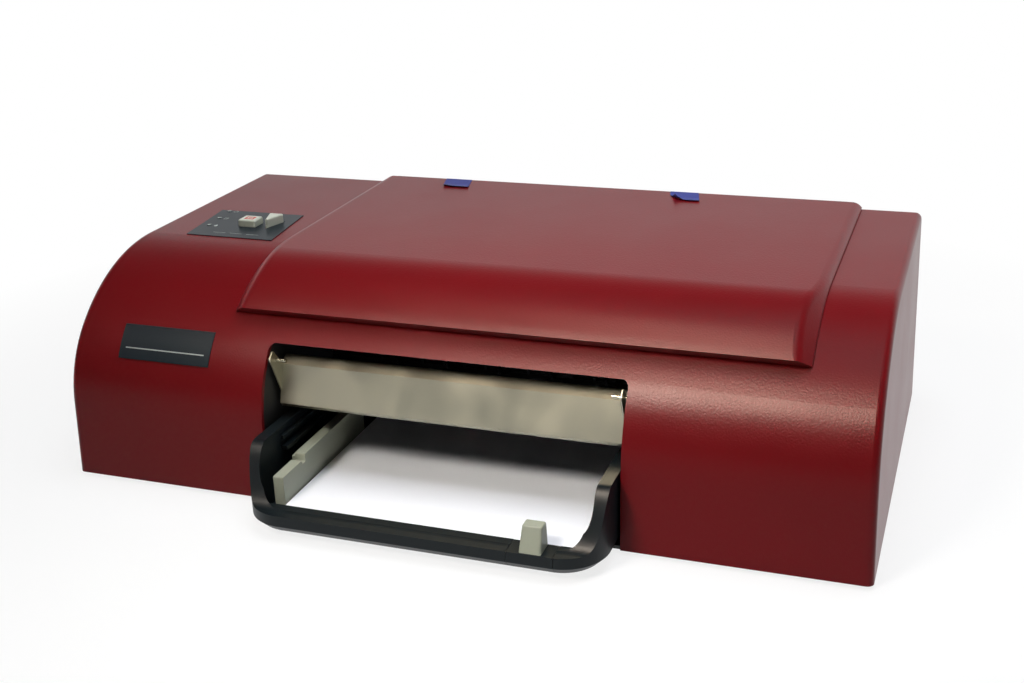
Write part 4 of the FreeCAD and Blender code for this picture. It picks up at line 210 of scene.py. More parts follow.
class PrinterStage(bpy.types.PropertyGroup):
    """Camera and light."""

    camera_place: bpy.props.FloatVectorProperty(
        name="Camera", description="Where the camera stands", subtype="TRANSLATION", unit="LENGTH",
        default=(0.3478, -0.9045, 0.4710),
    )
    camera_turn: bpy.props.FloatVectorProperty(
        name="Camera angles", description="Yaw to the left, pitch down and roll",
        subtype="EULER", unit="ROTATION",
        default=(math.radians(20.39), math.radians(21.55), math.radians(-2.17)),
    )
    lens: bpy.props.FloatProperty(name="Lens", description="Focal length", unit="CAMERA", default=47.59)
    key_power: power("Key lamp", "Power of the narrow-beam lamp in front", 0.9)
    glint_power: power("Glint lamp", "Power of the lamp that shows in reflections alone", 46.0)
    lid_power: power("Lid lamp", "Power of the lamp that lights the lid alone", 9.0)
    soft_power: power("Soft lamp", "Power of the overhead lamp", 6.0)


def add(tree, kind, inputs=None, **settings):
    """Add one node with its settings, and its inputs as values or as other nodes' outputs."""
    node = tree.nodes.new(kind)
    for name, value in settings.items():
        setattr(node, name, value)
    for name, value in (inputs or {}).items():
        if isinstance(value, bpy.types.NodeSocket):
            tree.links.new(value, node.inputs[name])
        else:
            node.inputs[name].default_value = value
    return node


def start(name):
    """A new material: its node tree and its object coordinates, which are metres in the part's frame."""
    material = bpy.data.materials.new(name)
    material.use_nodes = True
    tree = material.node_tree
    tree.nodes.clear()
    return material, tree, add(tree, "ShaderNodeTexCoord").outputs["Object"]


def per_metre(millimetres):
    """Pattern scale that makes one feature about this size."""
    return 1 / (millimetres * MM)


def wave_scale(pitch):
    """Wave scale whose bands repeat at this pitch in millimetres."""
    return math.tau / WAVE_RADIANS * per_metre(pitch)


def shade(base, factor):
    """A colour made lighter or darker, with its alpha."""
    return [min(1, c * factor) for c in base] + [1]


def moulded(name, base, grit, depth, rough, spread=0.06, gloss=0.5):
    """Moulded or printed plastic: a fine even grain, with roughness and colour that drift a little."""
    material, tree, place = start(name)
    # Grain of 0.1 to 0.2 mm is drawn at 0.4 to 0.9 mm so that it shows.
    grain = add(
        tree, "ShaderNodeTexNoise",
        {"Vector": place, "Scale": per_metre(grit), "Detail": 2, "Roughness": 0.6},
    )
    drift = add(tree, "ShaderNodeTexNoise", {"Vector": place, "Scale": per_metre(MOULD_DRIFT), "Detail": 3})
    tint = add(
        tree, "ShaderNodeMix",
        {"Factor": drift.outputs["Fac"], "A": shade(base, 1 - spread), "B": shade(base, 1 + spread)},
        data_type="RGBA",
    )
    satin = add(
        tree, "ShaderNodeMapRange",
        {"Value": drift.outputs["Fac"], "To Min": rough - 0.04, "To Max": rough + 0.04},
    )
    relief = add(
        tree, "ShaderNodeBump",
        {"Height": grain.outputs["Fac"], "Strength": 1, "Distance": depth * MM},
    )
    shader = add(
        tree, "ShaderNodeBsdfPrincipled",
        {
            "Base Color": tint.outputs["Result"], "Roughness": satin.outputs["Result"],
            "Normal": relief.outputs["Normal"], "IOR": 1.5, "Specular IOR Level": gloss,
        },
    )
    add(tree, "ShaderNodeOutputMaterial", {"Surface": shader.outputs["BSDF"]})
    return material


def metal(name, base, rough, grain, stretch, depth):
    """Drawn, ground or plated metal: fine lines along one direction and faint handling marks."""
    material, tree, place = start(name)
    lines_at = add(tree, "ShaderNodeMapping", {"Vector": place, "Scale": stretch})
    # Lines of 0.05 to 0.1 mm are drawn at 0.4 to 0.8 mm so that they show.
    lines = add(
        tree, "ShaderNodeTexNoise",
        {"Vector": lines_at.outputs["Vector"], "Scale": per_metre(grain), "Detail": 3, "Roughness": 0.55},
    )
    smear = add(
        tree, "ShaderNodeTexNoise",
        {"Vector": place, "Scale": per_metre(HANDLING_SMEAR), "Detail": 4, "Distortion": 0.6},
    )
    tint = add(
        tree, "ShaderNodeMix",
        {"Factor": smear.outputs["Fac"], "A": shade(base, 0.9), "B": shade(base, 1.06)},
        data_type="RGBA",
    )
    satin = add(
        tree, "ShaderNodeMapRange",
        {
            "Value": smear.outputs["Fac"], "From Min": 0.3, "From Max": 0.7,
            "To Min": rough - 0.06, "To Max": rough + 0.08,
        },
    )
    relief = add(
        tree, "ShaderNodeBump",
        {"Height": lines.outputs["Fac"], "Strength": 1, "Distance": depth * MM},
    )
    shader = add(
        tree, "ShaderNodeBsdfPrincipled",
        {
            "Base Color": tint.outputs["Result"], "Metallic": 1, "Roughness": satin.outputs["Result"],
            "Normal": relief.outputs["Normal"],
        },
    )
    add(tree, "ShaderNodeOutputMaterial", {"Surface": shader.outputs["BSDF"]})
    return material


def coat(material, *nodes):
    """Put a material on CAD nodes."""
    for name in nodes:
        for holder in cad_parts[name].material_slots:
            holder.material = material


def piece(name, bm, material, body, smooth=None):
    """Turn a bmesh into a piece that rides on a body, smooth up to an angle where one is given."""
    bmesh.ops.recalc_face_normals(bm, faces=bm.faces)
    mesh = bpy.data.meshes.new(name)
    bm.to_mesh(mesh)
    bm.free()
    mesh.materials.append(material)
    if smooth is not None:
        mesh.shade_smooth()
        mesh.set_sharp_from_angle(angle=math.radians(smooth))
    thing = bpy.data.objects.new(name, mesh)
    bpy.context.scene.collection.objects.link(thing)
    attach(thing, body)
    return thing


def slab(bm, rings):
    """Closed solid skinned over rings of equally many points, from the first ring to the last."""
    loops = [[bm.verts.new(point) for point in ring] for ring in rings]
    count = len(loops[0])
    bm.faces.new(list(reversed(loops[0])))
    bm.faces.new(loops[-1])
    for low, high in zip(loops, loops[1:]):
        for index in range(count):
            following = (index + 1) % count
            bm.faces.new([low[index], low[following], high[following], high[index]])


def sheet_solid(bm, under, over):
    """Closed thin sheet between two square grids of vertices."""
    last = len(over) - 1
    for row in range(last):
        for column in range(last):
            corners = [(row, column), (row, column + 1), (row + 1, column + 1), (row + 1, column)]
            bm.faces.new([over[i][j] for i, j in corners])
            bm.faces.new([under[i][j] for i, j in reversed(corners)])
    rim = [(0, j) for j in range(last)] + [(i, last) for i in range(last)]
    rim += [(last, j) for j in range(last, 0, -1)] + [(i, 0) for i in range(last, 0, -1)]
    for (i, j), (k, m) in zip(rim, rim[1:] + rim[:1]):
        bm.faces.new([under[i][j], under[k][m], over[k][m], over[i][j]])


def lacquer_material(base):
    """Spatter lacquer: a saturated body colour under a satin skin whose grit breaks up highlights."""
    material, tree, place = start("textured_lacquer")
    # The real grit of about 0.7 mm is drawn at 1.3 mm so that it shows.
    grit = add(
        tree, "ShaderNodeTexNoise",
        {"Vector": place, "Scale": per_metre(LACQUER_GRIT), "Detail": 1, "Roughness": 0.5},
    )
    drift = add(tree, "ShaderNodeTexNoise", {"Vector": place, "Scale": per_metre(LACQUER_DRIFT), "Detail": 3})
    tint = add(
        tree, "ShaderNodeMix",
        {"Factor": drift.outputs["Fac"], "A": shade(base, 0.96), "B": shade(base, 1.04)}, data_type="RGBA",
    )
    satin = add(
        tree, "ShaderNodeMapRange",
        {"Value": drift.outputs["Fac"], "From Min": 0.3, "From Max": 0.7, "To Min": 0.28, "To Max": 0.32},
    )
    relief = add(
        tree, "ShaderNodeBump",
        {"Height": grit.outputs["Fac"], "Strength": 1, "Distance": LACQUER_RELIEF * MM},
    )
    shader = add(
        tree, "ShaderNodeBsdfPrincipled",
        {
            "Base Color": tint.outputs["Result"], "Roughness": satin.outputs["Result"],
            "Specular IOR Level": 0.15, "Normal": relief.outputs["Normal"], "IOR": 1.5,
        },
    )
    add(tree, "ShaderNodeOutputMaterial", {"Surface": shader.outputs["BSDF"]})
    return material


class PRINTER_OT_housing(bpy.types.Operator):
    """Textured burgundy lacquer on the housing, the lid and its knuckles"""

    bl_idname = "printer.housing"
    bl_label = "Housing and lid"

    def execute(self, context):
        lacquer = lacquer_material(context.scene.printer_finishes.lacquer)
        coat(lacquer, "housing_shell", "lid", "hinge_lugs")
        return {"FINISHED"}


class PRINTER_OT_front(bpy.types.Operator):
    """Steel flap, its pins, the dark liner and the films of the front plate and the control panel"""

    bl_idname = "printer.front"
    bl_label = "Mouth and flap"

    def execute(self, context):
        finishes = context.scene.printer_finishes
        # Cold-rolled stainless sheet: soft wide reflections drawn out along the rolling direction.
        rolled = metal(
            "rolled_steel_sheet", finishes.steel, rough=0.36, grain=0.6, stretch=(0.03, 1, 1), depth=0.004
        )
        coat(rolled, "exit_flap")
        # Ground rod: bright, with fine rings round it.
        ground = metal(
            "ground_steel", finishes.steel, rough=0.22, grain=0.4, stretch=(1, 0.05, 0.05), depth=0.002
        )
        coat(ground, "flap_pins", "hinge_pins")
        # Spark-eroded ABS: near black, dull, with a coarse even grain.
        liner = moulded("black_moulded_abs", finishes.liner, grit=0.9, depth=0.03, rough=0.55)
        coat(liner, "mouth_liner")
        # Hard-coated polyester film: smooth and satin, slightly blue.
        film = moulded(
            "polyester_film", finishes.film, grit=0.5, depth=0.004, rough=0.36, spread=0.04, gloss=0.2
        )
        coat(film, "front_plate", "panel_overlay")
        return {"FINISHED"}


class PRINTER_OT_tray(bpy.types.Operator):
    """Charcoal tray with its pull-out segment and the grey guides"""

    bl_idname = "printer.tray"
    bl_label = "Tray and guides"

    def execute(self, context):
        finishes = context.scene.printer_finishes
        # Moulded polystyrene: charcoal with a cold tint, soft sheen along its rounded rims.
        charcoal = moulded("charcoal_polystyrene", finishes.tray, grit=0.8, depth=0.02, rough=0.42, gloss=0.2)
        coat(charcoal, "paper_tray", "length_slider")
        # Moulded ABS: mid grey, slightly green, with a satin grain.
        grey = moulded("grey_abs", finishes.guide, grit=0.8, depth=0.02, rough=0.48)
        coat(grey, "width_guide", "length_guide")
        return {"FINISHED"}


def paper_material(base):
    """Copier paper: matt fibre surface, with the sheets' edges as fine lines on the stack's sides."""
    material, tree, place = start("copier_paper")
    fibre = add(
        tree, "ShaderNodeTexNoise",
        {"Vector": place, "Scale": per_metre(FIBRE), "Detail": 5, "Roughness": 0.7},
    )
    layers_at = add(tree, "ShaderNodeMapping", {"Vector": place, "Scale": (0.02, 0.02, 1)})
    # Sheets of 0.1 mm are drawn as layers of 0.5 mm so that they show.
    layers = add(
        tree, "ShaderNodeTexNoise",
        {"Vector": layers_at.outputs["Vector"], "Scale": per_metre(SHEET_LINES), "Detail": 2},
    )
    normal = add(tree, "ShaderNodeNewGeometry").outputs["Normal"]
    upright = add(tree, "ShaderNodeSeparateXYZ", {"Vector": normal}).outputs["Z"]
    side = add(
        tree, "ShaderNodeMapRange",
        {"Value": upright, "From Min": 0.3, "From Max": 0.8, "To Min": 1, "To Max": 0},
    )
    edge = add(
        tree, "ShaderNodeMath",
        {0: side.outputs["Result"], 1: layers.outputs["Fac"]}, operation="MULTIPLY",
    )
    tint = add(
        tree, "ShaderNodeMix",
        {"Factor": edge.outputs["Value"], "A": shade(base, 1), "B": shade(base, 0.55)}, data_type="RGBA",
    )
    relief = add(
        tree, "ShaderNodeBump",
        {"Height": fibre.outputs["Fac"], "Strength": 1, "Distance": FIBRE_RELIEF * MM},
    )
    shader = add(
        tree, "ShaderNodeBsdfPrincipled",
        {
            "Base Color": tint.outputs["Result"], "Roughness": 0.75, "Normal": relief.outputs["Normal"],
            "Specular IOR Level": 0.3,
        },
    )
    add(tree, "ShaderNodeOutputMaterial", {"Surface": shader.outputs["BSDF"]})
    return material


class PRINTER_OT_paper(bpy.types.Operator):
    """Stack of sheets in the tray, laid beside the width guide"""

    bl_idname = "printer.paper"
    bl_label = "Paper"

    def execute(self, context):
        sizes = context.scene.printer_sizes
        draw = random.Random(SEED)
        left = GUIDE_HIGH.x + sizes.paper_gap
        right = left + sizes.paper_width
        front = TRAY_LOW.y + PAPER_SETBACK
        rear = front + sizes.paper_length
        bed = GUIDE_LOW.z + PAPER_BED
        thick = sizes.paper_stack / PAPER_LAYERS
        bm = bmesh.new()
        for layer in range(PAPER_LAYERS):
            slip = draw.uniform(0, PAPER_SLIP)
            shift = draw.uniform(0, PAPER_SHIFT)
            corners = [
                (left + shift, front + slip), (right - slip, front + slip),
                (right - slip, rear), (left + shift, rear),
            ]
            heights = [bed + thick * (layer + level) for level in LAYER_LEVELS]
            slab(bm, [[Vector((x, y, z)) for x, y in corners] for z in heights])
        stack = piece("paper_stack", bm, paper_material(context.scene.printer_finishes.paper), "chassis")
        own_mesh(stack)
        return {"FINISHED"}


def flat_mark(bm, outline, origin):
    """One printed mark on a level surface: a thin slab whose outline is in millimetres from its origin."""
    points = [origin + Vector((x * MM, y * MM, 0)) for x, y in outline]
    slab(bm, [points, [point + Vector((0, 0, INK)) for point in points]])


def box_points(left, low, width, depth):
    """Corners of an upright rectangle."""
    return [(left, low), (left + width, low), (left + width, low + depth), (left, low + depth)]


def box_strokes(left, low, width, depth, stroke):
    """Outlines of the four strokes round an upright rectangle."""
    inner = depth - 2 * stroke
    return [
        box_points(left, low, width, stroke),
        box_points(left, low + depth - stroke, width, stroke),
        box_points(left, low + stroke, stroke, inner),
        box_points(left + width - stroke, low + stroke, stroke, inner),
    ]


def round_points(radius, count, first, last):
    """Points of an arc round the origin."""
    angles = [first + (last - first) * i / count for i in range(count)]
    return [(radius * math.cos(angle), radius * math.sin(angle)) for angle in angles]


# Generic signs, as outlines in millimetres round each sign's middle: an ink drop, a sheet, a ring with a bar.
DROP_END = [
    (DROP_RADIUS * math.cos(angle), DROP_MIDDLE + DROP_RADIUS * math.sin(angle)) for angle in DROP_ANGLES
]
DROP = [[(0.0, DROP_TIP)] + DROP_END]
SHEET = box_strokes(-1.6, -2.2, 3.2, 4.4, SIGN_STROKE) + [box_points(-0.6, -0.2, 1.2, SIGN_STROKE)]
RING_OUTSIDE = round_points(RING_RADIUS, RING_POINTS, RING_FIRST, RING_LAST)
RING_INSIDE = round_points(RING_RADIUS - SIGN_STROKE, RING_POINTS, RING_FIRST, RING_LAST)
RING = [RING_OUTSIDE + list(reversed(RING_INSIDE)), box_points(-0.25, 0.4, SIGN_STROKE, 2.4)]
STOP_SIGN = box_strokes(-4.2, -3.2, 8.4, 6.6, KEY_STROKE) + [box_points(-1.4, -0.5, 2.8, 1.2)]


def lamp_places():
    """Centres of the lamps, from front to rear, read from their solids."""
    points = [vertex.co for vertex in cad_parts["panel_lamps"].data.vertices]
    share = (LAMPS_HIGH.y - LAMPS_LOW.y) / LAMP_COUNT
    places = []
    for index in range(LAMP_COUNT):
        near = [p for p in points if index * share <= p.y - LAMPS_LOW.y <= (index + 1) * share]
        places.append(sum(near, Vector()) / len(near))
    return places


def panel_marks(ink):
    """A sign beside each lamp, and a row of dashes along the front of the control panel."""
    bm = bmesh.new()
    places = lamp_places()
    for sign, lamp in zip((DROP, SHEET, RING), places):
        for outline in sign:
            flat_mark(bm, outline, Vector((lamp.x + SIGN_OFFSET, lamp.y, OVERLAY_HIGH.z)))
    corner = Vector((places[0].x, OVERLAY_LOW.y, OVERLAY_HIGH.z))
    for count in range(DASHES):
        flat_mark(bm, box_points(DASH_START + DASH_PITCH * count, DASH_LOW, DASH_LENGTH, DASH_STROKE), corner)
    piece("panel_marks", bm, ink, "chassis")


def plate_rule(ink):
    """A plain rule on the face of the front plate, which rays from in front find."""
    bm = bmesh.new()
    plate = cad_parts["front_plate"].data
    skin = BVHTree.FromPolygons([v.co for v in plate.vertices], [list(f.vertices) for f in plate.polygons])
    width = PLATE_HIGH.x - PLATE_LOW.x - 2 * RULE_INSET
    rule = []
    for x, z in box_points(PLATE_LOW.x + RULE_INSET, PLATE_LOW.z + RULE_HEIGHT, width, RULE_STROKE):
        hit = skin.ray_cast(Vector((x, PLATE_LOW.y - RAY_START, z)), Vector((0, 1, 0)))[0]
        if hit is None:
            raise RuntimeError("The rule lies beside the front plate")
        rule.append(hit)
    slab(bm, [rule, [point - Vector((0, INK, 0)) for point in rule]])
    piece("plate_rule", bm, ink, "chassis")


def key_sign(ink):
    """A framed bar on the square key."""
    bm = bmesh.new()
    middle = (STOP_LOW + STOP_HIGH) / 2
    for outline in STOP_SIGN:
        flat_mark(bm, outline, Vector((middle.x, middle.y, STOP_HIGH.z)))
    piece("stop_key_mark", bm, ink, "stop_key")


class PRINTER_OT_panel(bpy.types.Operator):
    """Keys, lamps and printed marks of the control panel, and the rule on the front plate"""

    bl_idname = "printer.panel"
    bl_label = "Control panel"

    def execute(self, context):
        finishes = context.scene.printer_finishes
        # Translucent polycarbonate caps: pale, waxy, with rounded glints.
        caps = moulded("key_polycarbonate", finishes.key, grit=0.6, depth=0.01, rough=0.33, spread=0.04)
        coat(caps, "stop_key", "feed_key")
        # Clear acrylic lens over an unlit lamp: grey and glossy, with a small sharp glint.
        lens = moulded("lamp_acrylic", finishes.lamp, grit=0.5, depth=0.004, rough=0.15, spread=0.05)
        coat(lens, "panel_lamps")
        # Screen-printed ink: flat, a little raised, with a dry grain.
        ink = moulded("screen_print", finishes.print_ink, grit=0.4, depth=0.01, rough=0.55, spread=0.08)
        panel_marks(ink)
        plate_rule(ink)
        # Pad-printed ink: an even flat red.
        key_sign(moulded("red_ink", finishes.key_mark, grit=0.4, depth=0.01, rough=0.5, spread=0.08))
        return {"FINISHED"}


def tape_point(sizes, left, curl, lift, back, across):
    """Point of a strip of tape, where back and across run from 0 to 1 from its front left corner."""
    loose = max(0, 1 - back / LOOSE_LENGTH_SHARE - across / LOOSE_WIDTH_SHARE)
    rise = BEND_RISE * max(0, BEND_SHARE - back) / BEND_SHARE
    return (
        left + TAPE_SKEW * (1 - back) + sizes.tape_width * across + curl * LOOSE_RIGHT * loose,
        TABS_HIGH.y - sizes.tape_length * (1 - back) + curl * LOOSE_BACK * loose,
        LID_HIGH.z + TAPE_GAP + lift + rise + curl * sizes.tape_lift * loose ** LOOSE_POWER,
    )


class PRINTER_OT_tape(bpy.types.Operator):
    """Two strips of crepe tape on the rear edge of the lid"""

    bl_idname = "printer.tape"
    bl_label = "Tape"

    def execute(self, context):
        sizes = context.scene.printer_sizes
        # Crepe masking tape: blue, dull, with fine ridges.
        tape = moulded(
            "crepe_tape", context.scene.printer_finishes.tape, grit=0.7, depth=0.08, rough=0.6, spread=0.1
        )
        bm = bmesh.new()
        steps = [cell / TAPE_CELLS for cell in range(TAPE_CELLS + 1)]
        right = TABS_HIGH.x - TAPE_SKEW - sizes.tape_width
        for left, curl in ((TABS_LOW.x, LEFT_CURL), (right, RIGHT_CURL)):
            faces = []
            for lift in (0, sizes.tape_thickness):
                rows = []
                for back in steps:
                    points = [tape_point(sizes, left, curl, lift, back, across) for across in steps]
                    rows.append([bm.verts.new(point) for point in points])
                faces.append(rows)
            sheet_solid(bm, *faces)
        tabs = piece("tape_strips", bm, tape, "lid", TAPE_SMOOTH)
        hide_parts("tape_tabs")
        return {"FINISHED"}


class PRINTER_OT_rear(bpy.types.Operator):
    """Rear panel with its screws and sockets, the pan and the feet"""

    bl_idname = "printer.rear"
    bl_label = "Rear and base"

    def execute(self, context):
        finishes = context.scene.printer_finishes
        # Textured ABS: near black, with a dull grain that hides scratches.
        back = moulded("dark_moulded_abs", finishes.liner, grit=0.9, depth=0.03, rough=0.5)
        coat(back, "rear_panel", "base_pan", "power_inlet")
        # Moulded rubber: black and matt, without glints.
        coat(moulded("foot_rubber", finishes.rubber, grit=0.5, depth=0.03, rough=0.8), "rubber_feet")
        # Bright zinc plate: cool grey, with soft and slightly cloudy reflections.
        plate = metal("zinc_plate", finishes.zinc, rough=0.3, grain=0.8, stretch=(1, 1, 1), depth=0.004)
        coat(plate, "rear_panel_screws", "data_socket")
        return {"FINISHED"}


def board_material(base):
    """Solder mask over copper: paler tracks that run one way or the other from patch to patch."""
    material, tree, place = start("solder_mask")
    patches = add(
        tree, "ShaderNodeTexVoronoi",
        {"Vector": place, "Scale": per_metre(BOARD_PATCH)}, distance="CHEBYCHEV",
    )
    choice = add(tree, "ShaderNodeSeparateColor", {"Color": patches.outputs["Color"]}).outputs["Red"]
    turned = add(tree, "ShaderNodeMath", {0: choice, 1: 0.5}, operation="GREATER_THAN").outputs["Value"]
    # Tracks of 0.3 mm are drawn at a pitch of 2.5 mm so that they show.
    across, along = [
        add(
            tree, "ShaderNodeTexWave",
            {"Vector": place, "Scale": wave_scale(TRACK_PITCH)}, bands_direction=direction,
        )
        for direction in ("X", "Y")
    ]
    runs = add(
        tree, "ShaderNodeMix",
        {"Factor": turned, "A": across.outputs["Fac"], "B": along.outputs["Fac"]},
    )
    track = add(
        tree, "ShaderNodeMapRange",
        {"Value": runs.outputs["Result"], "From Min": 0.7, "From Max": 0.8},
    )
    tint = add(
        tree, "ShaderNodeMix",
        {"Factor": track.outputs["Result"], "A": shade(base, 0.9), "B": shade(base, 1.7)}, data_type="RGBA",
    )
    relief = add(
        tree, "ShaderNodeBump",
        {"Height": track.outputs["Result"], "Strength": 1, "Distance": TRACK_RELIEF * MM},
    )
    shader = add(
        tree, "ShaderNodeBsdfPrincipled",
        {
            "Base Color": tint.outputs["Result"], "Roughness": 0.3, "Normal": relief.outputs["Normal"],
            "IOR": 1.5,
        },
    )
    add(tree, "ShaderNodeOutputMaterial", {"Surface": shader.outputs["BSDF"]})
    return material


def strip_material(base):
    """Encoder strip: smoky polyester film with fine dark lines across it."""
    material, tree, place = start("encoder_film")
    # Lines of 0.1 mm are drawn at a pitch of 1.2 mm so that they show.
    lines = add(
        tree, "ShaderNodeTexWave",
        {"Vector": place, "Scale": wave_scale(STRIP_PITCH)}, bands_direction="X",
    )
    tint = add(
        tree, "ShaderNodeMix",
        {"Factor": lines.outputs["Fac"], "A": shade(base, 0.3), "B": shade(base, 1.3)}, data_type="RGBA",
    )
    shader = add(
        tree, "ShaderNodeBsdfPrincipled",
        {"Base Color": tint.outputs["Result"], "Roughness": 0.2, "IOR": 1.6},
    )
    add(tree, "ShaderNodeOutputMaterial", {"Surface": shader.outputs["BSDF"]})
    return material


class PRINTER_OT_mechanism(bpy.types.Operator):
    """Carriage, rollers, gears, motors, frames and boards inside the housing"""

    bl_idname = "printer.mechanism"
    bl_label = "Mechanism"

    def execute(self, context):
        finishes = context.scene.printer_finishes
        # Galvanised sheet: pale grey, clouded by zinc crystals of about 6 mm.
        sheet = metal("galvanised_sheet", finishes.zinc, rough=0.4, grain=6, stretch=(1, 1, 1), depth=0.002)
        coat(sheet, "left_frame", "right_frame", "rear_beam", "power_supply")
        # Turned rod: bright, with fine rings round it.
        rod = metal(
            "turned_steel", finishes.steel, rough=0.2, grain=0.4, stretch=(1, 0.05, 0.05), depth=0.002
        )
        coat(rod, "guide_rod", "feed_shaft", "exit_shaft", "idler_stud", "drive_shaft")
        # Spring steel of the star wheels in painted shade: dark, as they lie in shade inside the mouth, with
        # a thin sheen on the toothed rims.
        dark = metal(
            "wheel_steel_painted_shade", finishes.component, rough=0.4, grain=0.4, stretch=(1, 1, 1), depth=0.002
        )
        coat(dark, "star_wheels")
        # Deep-drawn, plated can: soft grey, with faint draw lines along its wall.
        can = metal("motor_can", finishes.zinc, rough=0.35, grain=0.8, stretch=(1, 0.1, 1), depth=0.004)
        coat(can, "carriage_motor", "feed_motor")
        # Ground rubber: near black and velvety.
        rubber = moulded("roller_rubber", finishes.rubber, grit=0.4, depth=0.02, rough=0.7)
        coat(rubber, "feed_tyres", "exit_wheels", "pinch_rollers", "drive_belt")
        # Natural nylon: cream and a little waxy.
        nylon = moulded("natural_nylon", finishes.nylon, grit=0.6, depth=0.01, rough=0.4, spread=0.03)
        coat(nylon, "feed_gear", "feed_pinion", "idler_pulley", "drive_pulley", "board_posts")
        # Moulded ABS: dark grey with a satin grain.
        grey = moulded("carriage_abs", finishes.carriage, grit=0.8, depth=0.02, rough=0.45)
        coat(grey, "carriage", "service_station", "pinch_holders")
        # Polypropylene: near black and smooth, with a greasy sheen.
        ink_case = moulded("cartridge_polypropylene", finishes.cartridge, grit=0.7, depth=0.01, rough=0.35)
        coat(ink_case, "black_cartridge", "colour_cartridge")
        # Textured ABS: near black and dull under the sheet.
        ribbed = moulded("platen_abs", finishes.liner, grit=0.9, depth=0.03, rough=0.5)
        coat(ribbed, "platen", "paper_guide")
        coat(board_material(finishes.board), "main_board", "key_board")
        # Moulded epoxy: charcoal and matt, as chips and switches are.
        epoxy = moulded("component_epoxy", finishes.component, grit=0.5, depth=0.01, rough=0.45)
        coat(epoxy, "board_parts", "key_switches")
        coat(strip_material(finishes.lamp), "encoder_strip")
        return {"FINISHED"}


def studio_world():
    """White backdrop behind the printer, which fades into a dark ceiling and a dim room in front."""
    world = bpy.data.worlds.new("studio")
    world.use_nodes = True
    tree = world.node_tree
    tree.nodes.clear()
    aim = add(tree, "ShaderNodeTexCoord").outputs["Generated"]
    parts = add(tree, "ShaderNodeSeparateXYZ", {"Vector": aim})
    height = add(
        tree, "ShaderNodeMapRange",
        {"Value": parts.outputs["Z"], "From Min": 0.22, "From Max": 0.66, "To Min": 1, "To Max": 0.06},
    )
    depth = add(
        tree, "ShaderNodeMapRange",
        {"Value": parts.outputs["Y"], "From Min": -0.4, "From Max": 0.35, "To Min": 0.1, "To Max": 1},
        interpolation_type="SMOOTHSTEP",
    )
    glow = add(
        tree, "ShaderNodeMath",
        {0: height.outputs["Result"], 1: depth.outputs["Result"]}, operation="MULTIPLY",
    )
    # The camera sees plain white.
    ray = add(tree, "ShaderNodeLightPath")
    seen = add(
        tree, "ShaderNodeMath",
        {0: ray.outputs["Is Camera Ray"], 1: ray.outputs["Is Transmission Ray"]}, operation="MAXIMUM",
    )
    strength = add(
        tree, "ShaderNodeMix", {"Factor": seen.outputs["Value"], "A": glow.outputs["Value"], "B": 1.0},
    )
    backdrop = add(
        tree, "ShaderNodeBackground",
        {"Color": shade(linear("ffffff"), 1), "Strength": strength.outputs["Result"]},
    )
    add(tree, "ShaderNodeOutputWorld", {"Surface": backdrop.outputs["Background"]})
    return world


def sweep_material():
    """Matt studio paper: white far away, shadowed close to the printer, and grey in the light it returns."""
    material, tree, place = start("studio_paper_sweep")
    speck = add(tree, "ShaderNodeTexNoise", {"Vector": place, "Scale": per_metre(SWEEP_SPECK), "Detail": 3})
    grey, pale = [
        add(
            tree, "ShaderNodeMix",
            {"Factor": speck.outputs["Fac"], "A": shade(linear(dark), 1), "B": shade(linear(light), 1)},
            data_type="RGBA",
        )
        for dark, light in (("8b8b8b", "959595"), ("f7f7f7", "fcfcfc"))
    ]
    lit = add(tree, "ShaderNodeBsdfDiffuse", {"Color": grey.outputs["Result"]})
    sheet = add(tree, "ShaderNodeBsdfDiffuse", {"Color": pale.outputs["Result"]})
    white = add(tree, "ShaderNodeEmission", {"Color": shade(linear("ffffff"), 1), "Strength": 1.0})
    away = add(tree, "ShaderNodeVectorMath", {0: place}, operation="LENGTH")
    fade = add(
        tree, "ShaderNodeMapRange",
        {"Value": away.outputs["Value"], "From Min": 0.36, "From Max": 0.7, "To Min": 0.8, "To Max": 1},
    )
    sweep = add(
        tree, "ShaderNodeMixShader",
        {"Fac": fade.outputs["Result"], 1: sheet.outputs["BSDF"], 2: white.outputs["Emission"]},
    )
    ray = add(tree, "ShaderNodeLightPath")
    seen = add(
        tree, "ShaderNodeMath",
        {0: ray.outputs["Is Camera Ray"], 1: ray.outputs["Is Transmission Ray"]}, operation="MAXIMUM",
    )
    shown = add(
        tree, "ShaderNodeMath",
        {0: seen.outputs["Value"], 1: ray.outputs["Is Glossy Ray"]}, operation="MAXIMUM",
    )
    both = add(
        tree, "ShaderNodeMixShader",
        {"Fac": shown.outputs["Value"], 1: lit.outputs["BSDF"], 2: sweep.outputs["Shader"]},
    )
    add(tree, "ShaderNodeOutputMaterial", {"Surface": both.outputs["Shader"]})
    return material


def area(name, place, target, width, depth, watts, tint):
    """Oval lamp that faces a target."""
    lamp = bpy.data.lights.new(name, "AREA")
    lamp.shape = "ELLIPSE"
    lamp.size = width
    lamp.size_y = depth
    lamp.energy = watts
    lamp.color = linear(tint)
    thing = bpy.data.objects.new(name, lamp)
    thing.location = place
    thing.rotation_euler = (Vector(target) - Vector(place)).to_track_quat("-Z", "Y").to_euler()
    bpy.context.scene.collection.objects.link(thing)
    return thing


